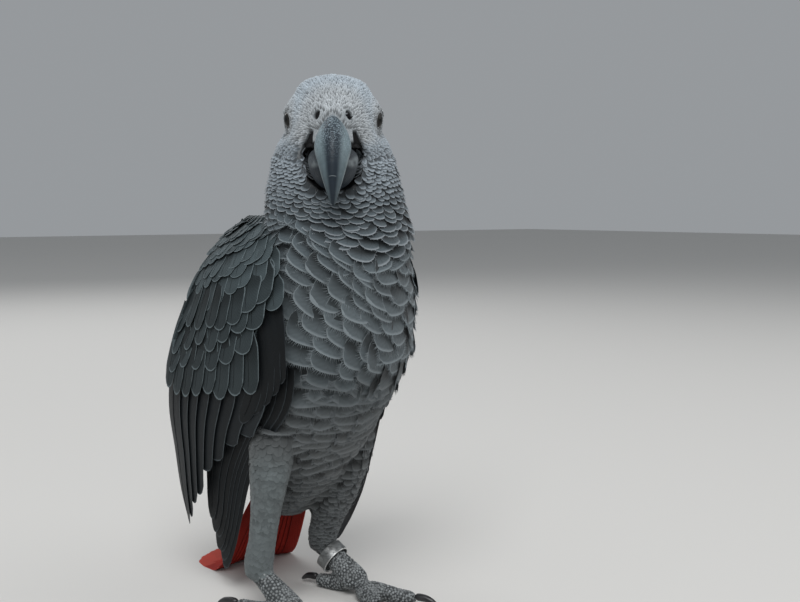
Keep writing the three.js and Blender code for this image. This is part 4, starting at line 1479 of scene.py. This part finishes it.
class PARROT_OT_flight_feathers(bpy.types.Operator):
    """Lays the primaries, the secondaries and the alula of both wings"""

    bl_idname = "parrot.flight_feathers"
    bl_label = "Flight feathers"

    def execute(self, context):
        finish = feather_finish("flight feathers", (0.085, 0.105, 0.115), 0.7, (0.9, 0.988), 0.45, 0.05, 0.6,
                                (0.1, 0.4), 0.08, 0.5, 0.0, 150.0, 0.15)
        dim = feather_finish("long feathers", (0.045, 0.055, 0.062), 0.7, (0.9, 0.988), 0.45, 0.05, 0.6,
                             (0.1, 0.4), 0.08, 0.5, 0.0, 150.0, 0.15)
        for name, side in SIDES.items():
            self.fill_wing(name, side, finish, dim)
        return {"FINISHED"}

    def fill_wing(self, name, side, finish, dim):
        chance = np.random.default_rng(71 + side)
        sheet = wing_sheet(name)
        tint = np.array(colours().flight)
        coat = Coat(patch=0.06)
        count = 8
        share = np.linspace(0, 1, count)
        s = np.interp(share, (0, 0.2, 0.4, 0.6, 0.8, 1), (0.64, 0.70, 0.76, 0.85, 0.92, 0.99))
        tips = np.stack([s + chance.normal(0, 0.006, count), blend(0.17, 0.93, share)], 1)
        roots = np.stack([np.full(count, 0.41), blend(0.28, 0.98, share)], 1)
        lay_row(coat, sheet, flight_vane((13 * MM, 80 * MM), 72, 0.1, 0.8), roots, tips, np.full(count, 7.6 * MM),
                (-2.0 * MM + share * 0.9 * MM, -1.6 * MM + share * 1.3 * MM), tint * 1.15, chance, camber=0.3 * MM,
                roll=-1.1 * MM, steps=20, hand=-side)
        coat.piece(f"secondaries_{name}", finish, "flight_feathers", [f"wing_{name}_secondaries"])
        coat = Coat(patch=0.06)
        roots, tips, share = spread_row(
            7, (0.02, 0.42), flat(0.44), lambda x: 1.02 - 0.1 * x, chance, lean=0.06, jitter=0.012)
        lay_row(coat, sheet, flight_vane((15 * MM, 98 * MM), 73, 0.16, 0.55), roots, tips, np.full(7, 7.4 * MM),
                (-4.9 * MM + share * 0.8 * MM, -5.0 * MM + share * 0.9 * MM), tint * 0.55, chance, camber=0.4 * MM,
                roll=-0.7 * MM, steps=20, hand=-side)
        coat.piece(f"primaries_{name}", dim, "flight_feathers", [f"wing_{name}_primaries"])
        coat = Coat(patch=0.06)
        share = np.linspace(0, 1, 5)
        roots = np.stack([blend(0.2, 0.24, share), blend(0.1, 0.26, share)], 1)
        tips = np.stack([blend(0.47, 0.6, share), blend(0.06, 0.2, share)], 1)
        lifts = (arm_top(*roots.T) - 1.9 * MM, -1.4 * MM + share * 1.2 * MM)
        lay_row(coat, sheet, flight_vane((14 * MM, 66 * MM), 74, 0.2, 0.6), roots, tips, np.full(5, 6.2 * MM), lifts,
                tint * 0.6, chance, camber=1.2 * MM, roll=-0.5 * MM, steps=14, hand=-side)
        coat.piece(f"alula_{name}", dim, "flight_feathers", [f"wing_{name}_alula"])


class PARROT_OT_scapulars(bpy.types.Operator):
    """Lays the shoulder feathers that bridge the back and the wings"""

    bl_idname = "parrot.scapulars"
    bl_label = "Shoulder feathers"

    def execute(self, context):
        finish = feather_finish("shoulder feathers", (0.17, 0.21, 0.225), 0.75, (0.88, 0.965), 0.5, 0.05, 0.5,
                                (0.3, 0.8), 0.06, 0.6, 0.02, 90.0, 0.1)
        for name, side in SIDES.items():
            chance = np.random.default_rng(81 + side)
            sheet, coat = shoulder_sheet(name), Coat()
            vanes = [covert_vane((11 * MM, 20 * MM), 82 + k) for k in range(2)]
            rows = 8
            for row in range(rows):
                start = 0.04 + 0.76 * row / rows
                reach = 0.36 if row < rows - 1 else 0.3
                offset = 0.5 * (row % 2) / 6
                roots, tips, share = spread_row(
                    6, (0.02 + offset, 0.98 + offset), flat(start), flat(start + reach), chance, jitter=0.015)
                width = blend(3.8, 5.8, row / rows) * MM
                lay_row(coat, sheet, vanes[row % 2], roots, tips, flat(width)(share), (-2.4 * MM, 0.3 * MM),
                        np.array(colours().covert), chance, camber=0.5 * MM, roll=-0.3 * MM, hand=-side)
            coat.piece(f"scapulars_{name}", finish, "wing_feathers", [f"wing_{name}_scapulars"])
        return {"FINISHED"}


# ---- tail ----
class PARROT_OT_tail(bpy.types.Operator):
    """Lays the twelve red tail feathers"""

    bl_idname = "parrot.tail"
    bl_label = "Tail"

    def execute(self, context):
        chance = np.random.default_rng(91)
        sheet, coat = tail_sheet(), Coat(patch=0.06)
        vane = flight_vane((13 * MM, 80 * MM), 92, 0.2, 0.9, barbs=18, barb_length=1.0 * MM)
        palette = colours()
        for index in range(6):
            place = (index + 0.5) / 6
            roots = np.array([(0.02, -place), (0.02, place)])
            reach = 1.0 - 0.025 * index
            tips = np.array([(reach, -place * 0.84), (reach, place * 0.84)]) + chance.normal(0, 0.006, (2, 2))
            height = blend(0.9, 2.3, place) * MM
            brown = 0.15 + 0.5 * chance.uniform()
            tint = np.array(palette.tail) * (1 - brown * 0.5) + np.array(palette.tail_shade) * brown * 0.5
            for hand in (0, 1):
                lay_row(coat, sheet, vane, roots[hand:hand + 1], tips[hand:hand + 1], 6.5 * MM,
                        (height, height), tint, chance, camber=0.4 * MM,
                        roll=-0.7 * MM, steps=20, hand=1 if hand else -1)
        finish = feather_finish("tail feathers", (0.52, 0.085, 0.06), 0.6, (0.88, 0.97), 0.5, 0.07, 0.5,
                                (0.1, 0.5), 0.14, 0.7, 0.0, 130.0, 0.08)
        coat.piece("tail", finish, "tail_feathers", ["tail_right", "tail_left"])
        return {"FINISHED"}


# ---- bill and eyes ----
# Sections of the bill in millimetres, forward of the eyes and above the floor: where the outer ridge lies, where the
# inner side lies, and the half width between them.
UPPER_BILL = (
    ((12.5, 199.6), (9.0, 187.5), 5.2), ((17.4, 200.7), (14.0, 187.0), 6.0), ((22.4, 199.4), (18.0, 186.0), 6.9),
    ((26.8, 195.8), (21.4, 184.4), 7.3), ((30.0, 190.4), (24.0, 182.0), 6.3), ((32.0, 184.2), (26.2, 179.0), 5.2),
    ((32.8, 177.8), (27.8, 175.2), 3.9), ((32.3, 172.2), (28.6, 171.4), 2.4), ((31.1, 168.3), (29.0, 168.5), 1.5),
    ((30.1, 166.6), (29.3, 167.1), 0.8),
)
LOWER_BILL = (
    ((3.0, 174.0), (1.0, 190.0), 7.6), ((9.0, 173.0), (8.0, 190.5), 9.8), ((15.0, 171.8), (14.5, 189.5), 10.0),
    ((20.0, 172.2), (19.5, 187.6), 8.6), ((23.4, 174.4), (22.2, 186.0), 6.4), ((25.0, 178.4), (23.4, 184.6), 3.8),
)


def bill_form(stations, ridge, flat_back, sides=16):
    """A horn along the head's middle, through oval sections that narrow towards their outer side."""
    bm = bmesh.new()
    along = bm.verts.layers.float.new("horn_along")
    across = bm.verts.layers.float.new("horn_across")
    rings = []
    for index, (outer, inner, wide) in enumerate(stations):
        made = bmesh.ops.create_circle(bm, segments=sides, radius=1)["verts"]
        start, end = (head_point(0, forward * MM, height * MM) for forward, height in (inner, outer))
        middle, out = start.lerp(end, 0.34), end - start
        for v in made:
            side, front = v.co.x, v.co.y
            narrowed = 1 - ridge * max(0.0, front) ** 1.3
            depth = 0.66 * front**0.9 if front > 0 else -0.34 * abs(front) ** flat_back
            v[along], v[across] = index / (len(stations) - 1), math.atan2(side, front) / math.pi
            v.co = middle + HEAD_LEFT * (wide * side * narrowed * MM) + out * depth
        rings.append(made)
    for first, second in zip(rings, rings[1:]):
        both = set(first) | set(second)
        edges = [edge for edge in bm.edges if set(edge.verts) <= both and len(edge.link_faces) < 2]
        bmesh.ops.bridge_loops(bm, edges=edges)
    for ring in (rings[0], rings[-1]):
        bmesh.ops.contextual_create(bm, geom=ring)
    return bm


def horn_finish(name, dark, pale, powdered, streaks, ridge_crack=0.0):
    """Slaty horn: darker along its ridge, paler on its flanks, with growth lines, flakes and a dusting of powder."""
    f = Finish(name)
    along, across = f.attribute("horn_along", "Fac"), f.attribute("horn_across", "Fac")
    off_ridge = abs(across)
    fine, broad, speck = f.noise(900.0, 4.0), f.noise(160.0, 3.0), f.noise(1900.0, 2.0)
    growth = (along * 90.0 + broad * 9.0).sine()
    grain = f.noise(1.0, 3.0, f.stretched((700.0, 700.0, 90.0)))
    flank = off_ridge.ramp(0.15, 0.33) * along.ramp(0.35, 0.85, 1.0, 0.35)
    horn = f.mix(colour4(dark), colour4(pale), flank * (0.6 + 0.7 * broad))
    horn = f.lit(horn, 0.86 + 0.2 * fine + streaks * (grain - 0.5) + 0.03 * growth)
    dust = speck.ramp(0.44, 0.66) * along.ramp(0.15, 0.62, powdered, 0.0) * (0.4 + 0.9 * broad)
    horn = f.mix(horn, colour4((0.29, 0.37, 0.42)), dust)
    rim = off_ridge.ramp(0.42, 0.5) * off_ridge.ramp(0.55, 0.65, 1.0, 0.0) * broad.ramp(0.3, 0.6)
    crack = along.ramp(0.674, 0.677) * along.ramp(0.678, 0.681, 1.0, 0.0) * off_ridge.ramp(0.13, 0.2, ridge_crack, 0.0)
    horn = f.mix(horn, colour4((0.30, 0.34, 0.35)), rim * 0.5 + crack * 0.6)
    return f.surface(
        base_color=horn,
        roughness=fine.ramp(0.2, 0.8, 0.42, 0.65),
        normal=f.bump(growth * 0.3 + grain * 1.2 + fine + dust, 0.08 * MM, 0.7),
        specular_ior_level=0.35,
    )


class PARROT_OT_bill(bpy.types.Operator):
    """Makes the hooked upper bill and the lower bill under it"""

    bl_idname = "parrot.bill"
    bl_label = "Bill"

    def execute(self, context):
        horn = colours().horn
        upper = horn_finish("upper bill", tuple(0.8 * c for c in horn), (0.155, 0.21, 0.23), 1.2, 0.3, 0.8)
        lower = horn_finish("lower bill", tuple(0.6 * c for c in horn), (0.05, 0.058, 0.066), 0.1, 0.6)
        piece_from("upper_bill", bill_form(UPPER_BILL, 0.4, 0.5), upper, ["bill_upper"], 60, 3)
        piece_from("lower_bill", bill_form(LOWER_BILL, 0.1, 0.9), lower, ["bill_lower"], 60, 3)
        return {"FINISHED"}


def eye_finish():
    """A black pupil in a dark grey iris, under a clear wet front."""
    f = Finish("eye")
    turn, around = f.attribute("off_pupil", "Fac"), f.attribute("around", "Fac")
    fibres = (around * 74.0 + f.noise(900.0, 3.0) * 6.0).sine()
    light = turn.ramp(0.30, 0.5) * (0.7 + 0.3 * fibres)
    iris = f.mix(colour4((0.006, 0.006, 0.006)), colour4((0.024, 0.023, 0.021)), light)
    ringed = f.mix(iris, colour4((0.008, 0.008, 0.008)), turn.ramp(0.58, 0.66))
    seen = f.mix(colour4((0.003, 0.003, 0.003)), ringed, turn.ramp(0.26, 0.29))
    return f.surface(base_color=seen, roughness=0.08, specular_ior_level=0.14)


def lid_finish():
    f = Finish("eyelid")
    inner = f.attribute("inner", "Fac")
    grain = f.noise(1600.0, 4.0)
    pale = f.mix(colour4((0.20, 0.21, 0.22)), colour4((0.34, 0.35, 0.36)), grain.ramp(0.35, 0.65))
    edge = f.mix(pale, colour4((0.03, 0.03, 0.032)), inner)
    return f.surface(base_color=edge, roughness=0.7, normal=f.bump(grain, 0.08 * MM, 0.7), specular_ior_level=0.3)


class PARROT_OT_eyes(bpy.types.Operator):
    """Makes the eyes, with their lids round them"""

    bl_idname = "parrot.eyes"
    bl_label = "Eyes"

    def execute(self, context):
        eye, lid = eye_finish(), lid_finish()
        for name, middle in EYES.items():
            way = eye_way(name)
            turned = UP.rotation_difference(way).to_matrix().to_4x4()
            place = Matrix.Translation(middle) @ turned
            piece_from(f"eyeball_{name}", self.ball(place), eye, [f"eye_{name}"], 180)
            piece_from(f"eyelid_{name}", self.lids(place), lid, (), 180)
        return {"FINISHED"}

    def ball(self, place):
        """The eyeball, with the clear front standing a little proud."""
        bm = bmesh.new()
        off = bm.verts.layers.float.new("off_pupil")
        around = bm.verts.layers.float.new("around")
        bmesh.ops.create_uvsphere(bm, u_segments=56, v_segments=40, radius=EYE_RADIUS)
        for v in bm.verts:
            v[off] = math.acos(max(-1.0, min(1.0, v.co.z / EYE_RADIUS)))
            v[around] = math.atan2(v.co.y, v.co.x)
            v.co *= blend(0.95, 1.02, float(1 - ramp(0.3, 0.9, v[off])))
        bmesh.ops.transform(bm, verts=bm.verts, matrix=place)
        return bm

    def lids(self, place):
        """A soft ring of skin that the eye looks out of, notched by fine folds."""
        bm = bmesh.new()
        inner = bm.verts.layers.float.new("inner")
        steps = 10
        turns = [2 * math.pi * k / steps for k in range(steps)]
        tube = 0.26 * MM
        profile = [
            bm.verts.new((LID_RADIUS + tube * (0.6 + math.cos(t)), 0, LID_REACH - 0.1 * MM + tube * 0.8 * math.sin(t)))
            for t in turns
        ]
        edges = [bm.edges.new((profile[k], profile[(k + 1) % steps])) for k in range(steps)]
        bmesh.ops.spin(
            bm, geom=profile + edges, axis=(0, 0, 1), cent=(0, 0, 0), steps=72, angle=2 * math.pi, use_merge=True
        )
        for v in bm.verts:
            reach, turn = math.hypot(v.co.x, v.co.y), math.atan2(v.co.y, v.co.x)
            v[inner] = float(1 - ramp(LID_RADIUS - 0.1 * MM, LID_RADIUS + 0.25 * MM, reach))
            v.co.z += 0.05 * MM * math.sin(36 * turn)
        bmesh.ops.transform(bm, verts=bm.verts, matrix=place)
        return bm


# ---- feet ----
class PARROT_OT_foot_scales(bpy.types.Operator):
    """Covers the shanks and the toes with small domed scales"""

    bl_idname = "parrot.foot_scales"
    bl_label = "Foot scales"

    def execute(self, context):
        def pitches(points):
            return np.full(len(points), 1.15 * MM), np.full(len(points), 1.25 * MM)

        def lie(points):
            return np.tile(unit((0.1, -0.8, -0.6)), (len(points), 1))

        def tints(points, chance):
            return np.array(colours().scale) * chance.uniform(0.75, 1.2, (len(points), 1))

        coat = Coat()
        feet = [f"shank_{side}" for side in SIDES] + TOES
        region = Region(scattered(feet, pitches, lie, 101, lambda points: points[:, 2] > 0.6 * MM), pitches, 102)
        domes = [
            Vane((1.2 * MM, 1.2 * MM), 3, 3, narrow_root=0.85, broadest=0.4, end=0.8, tip=0.3, bulge=0.3 * MM,
                 seed=103 + k)
            for k in range(2)
        ]
        cover(coat, region, domes, 0.12 * MM, tints, span=0.95, widen=0.95, camber=0.1, roll=0.0, stray=0.3, steps=3,
              low=0.1 * MM)
        f = Finish("foot scales")
        across, along, tone = f.attribute("vane").split()
        grain = f.noise(1500.0, 3.0)
        middle = abs(across).most(abs(along * 2.0 - 1.0))
        scale = f.lit(f.attribute("tint"), (0.75 + 0.5 * tone) * (0.8 + 0.4 * grain) * middle.ramp(0.45, 1.0, 1.0, 0.5))
        finish = f.surface(base_color=scale, roughness=0.62, normal=f.bump(grain, 0.06 * MM, 0.6), specular_ior_level=0.4)
        coat.piece("foot_scales", finish, "foot_scales")
        return {"FINISHED"}


class PARROT_OT_claws(bpy.types.Operator):
    """Rounds the eight claws"""

    bl_idname = "parrot.claws"
    bl_label = "Claws"

    def execute(self, context):
        f = Finish("claw horn")
        streak = f.noise(1.0, 3.0, f.stretched((900.0, 900.0, 1400.0)))
        broad = f.noise(220.0, 2.0)
        horn = f.mix(colour4((0.010, 0.010, 0.011)), colour4((0.045, 0.046, 0.048)), broad.ramp(0.35, 0.7) * streak)
        finish = f.surface(
            base_color=horn, roughness=broad.ramp(0.2, 0.8, 0.28, 0.5), normal=f.bump(streak, 0.05 * MM, 0.5),
            specular_ior_level=0.5,
        )
        claws = [f"claw_{side}_{digit}" for side in SIDES for digit in DIGITS]
        bm = merged_copy(*claws)
        bmesh.ops.recalc_face_normals(bm, faces=bm.faces)
        bm.normal_update()
        for v in bm.verts:
            v.co += v.normal * 0.15 * MM
            v.co.z = max(v.co.z, 0.1 * MM)
        piece_from("claws", bm, finish, claws, 180, 2)
        return {"FINISHED"}


class PARROT_OT_leg_ring(bpy.types.Operator):
    """Makes the closed metal ring round the left shank"""

    bl_idname = "parrot.leg_ring"
    bl_label = "Leg ring"

    def execute(self, context):
        places = np.unique(np.round(arrays_of(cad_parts["leg_ring"].data)[0], 6), axis=0)
        middle = places.mean(0)
        spread = np.linalg.eigh(np.cov((places - middle).T))[1]
        way = Vector(spread[:, 0])
        way = way if way.z > 0 else -way
        along, away = about_line(places, middle, way)
        inner, outer, half = away.min() + 0.02 * MM, away.max() - 0.02 * MM, along.max()
        bm = bmesh.new()
        level = bm.verts.layers.float.new("level")
        made = bmesh.ops.create_grid(bm, x_segments=1, y_segments=1, size=1)["verts"]
        for v in made:
            v.co = (blend(inner, outer, (v.co.x + 1) / 2), 0, half * v.co.y)
        bmesh.ops.bevel(
            bm, geom=made, affect="VERTICES", offset=0.22 * MM, segments=3, profile=0.5, material=-1
        )
        profile = bm.verts[:] + bm.edges[:]
        bmesh.ops.delete(bm, geom=bm.faces[:], context="FACES_ONLY")
        bmesh.ops.spin(
            bm, geom=profile, axis=(0, 0, 1), cent=(0, 0, 0), steps=96, angle=2 * math.pi, use_merge=True
        )
        for v in bm.verts:
            v[level] = v.co.z / half
        turned = UP.rotation_difference(way).to_matrix().to_4x4()
        bmesh.ops.transform(bm, verts=bm.verts, matrix=Matrix.Translation(middle) @ turned)
        f = Finish("ring metal")
        high = f.attribute("level", "Fac")
        scratch = f.noise(1.0, 4.0, f.stretched((300.0, 300.0, 3000.0)))
        dirt = f.noise(260.0, 3.0)
        metal = f.lit(tuple(colours().metal), 0.55 + 0.6 * scratch)
        worn = f.mix(metal, colour4((0.70, 0.71, 0.70)), high.ramp(-0.97, -0.82, 1.0, 0.0))
        dull = f.mix(worn, colour4((0.03, 0.03, 0.032)), dirt.ramp(0.5, 0.7) * 0.7)
        finish = f.surface(
            base_color=dull, metallic=0.85, roughness=scratch.ramp(0.2, 0.8, 0.3, 0.55),
            normal=f.bump(scratch, 0.03 * MM, 0.5),
        )
        piece_from("ring", bm, finish, ["leg_ring"], 35)
        return {"FINISHED"}


# ---- the stage ----
class PARROT_OT_stage(bpy.types.Operator):
    """Adds the floor, the soft lights and the camera"""

    bl_idname = "parrot.stage"
    bl_label = "Stage"

    def execute(self, context):
        scene = context.scene
        bm = bmesh.new()
        bmesh.ops.create_grid(bm, x_segments=1, y_segments=1, size=6)
        mesh = bpy.data.meshes.new("floor")
        bm.to_mesh(mesh)
        bm.free()
        floor = new_object("floor", mesh)
        f = Finish("floor")
        mesh.materials.append(f.surface(base_color=colour4((0.62, 0.61, 0.59)), roughness=0.9))
        world = bpy.data.worlds.new("studio")
        world.use_nodes = True
        world.node_tree.nodes["Background"].inputs["Color"].default_value = (0.80, 0.84, 0.88, 1)
        world.node_tree.nodes["Background"].inputs["Strength"].default_value = 0.38
        scene.world = world
        scene.view_settings.view_transform = "Standard"
        for name, place, size, power in (
            ("key", (-0.7, -0.9, 1.5), 1.1, 24.0),
            ("fill", (1.1, -0.7, 0.9), 1.2, 5.0),
            ("back", (0.2, 1.2, 1.1), 1.0, 7.0),
        ):
            lamp = bpy.data.lights.new(name, "AREA")
            lamp.size = size
            lamp.energy = power
            light = bpy.data.objects.new(name, lamp)
            light.location = place
            light.rotation_euler = (Vector((0, 0, 0.12)) - Vector(place)).to_track_quat("-Z", "Y").to_euler()
            scene.collection.objects.link(light)
        view = bpy.data.cameras.new("camera")
        view.sensor_width = 36.0
        view.lens = CAMERA_LENS
        view.clip_start = 0.01
        camera = bpy.data.objects.new("camera", view)
        camera.location = CAMERA_PLACE
        tilt = math.radians(CAMERA_TILT)
        way = Vector((*(c * math.cos(tilt) for c in CAMERA_HEADING), math.sin(tilt)))
        camera.rotation_euler = way.to_track_quat("-Z", "Y").to_euler()
        scene.collection.objects.link(camera)
        scene.camera = camera
        return {"FINISHED"}


CAMERA_LENS = 45.225
CAMERA_PLACE = BODY_AXIS + Vector((-222, -352, 165)) * MM
CAMERA_HEADING = (0.6018, 0.7986)
CAMERA_TILT = -5.17

OPERATORS = [PARROT_OT_skin,
    PARROT_OT_head_coat,
    PARROT_OT_neck_coat,
    PARROT_OT_body_coat,
    PARROT_OT_thigh_coat,
    PARROT_OT_wing_coverts,
    PARROT_OT_flight_feathers,
    PARROT_OT_scapulars,
    PARROT_OT_tail,
    PARROT_OT_bill,
    PARROT_OT_eyes,
    PARROT_OT_foot_scales,
    PARROT_OT_claws,
    PARROT_OT_leg_ring,
    PARROT_OT_stage]


class PARROT_PT_panel(bpy.types.Panel):
    """Lists the pieces in the order in which they are made"""

    bl_idname = "PARROT_PT_panel"
    bl_label = "Grey Parrot"
    bl_space_type = "VIEW_3D"
    bl_region_type = "UI"
    bl_category = "Parrot"

    def draw(self, context):
        for group in (context.scene.parrot_sizes, context.scene.parrot_colours):
            box = self.layout.box()
            for name in group.__annotations__:
                box.prop(group, name)
        for operator in OPERATORS:
            self.layout.operator(operator.bl_idname)


CLASSES = (ParrotSizes, ParrotColours, *OPERATORS, PARROT_PT_panel)


def register():
    for each in CLASSES:
        bpy.utils.register_class(each)
    bpy.types.Scene.parrot_sizes = PointerProperty(type=ParrotSizes)
    bpy.types.Scene.parrot_colours = PointerProperty(type=ParrotColours)


def unregister():
    del bpy.types.Scene.parrot_colours
    del bpy.types.Scene.parrot_sizes
    for each in reversed(CLASSES):
        bpy.utils.unregister_class(each)


def main():
    register()
    for operator in OPERATORS:
        group, name = operator.bl_idname.split(".")
        getattr(getattr(bpy.ops, group), name)()


if __name__ == "__main__":
    main()
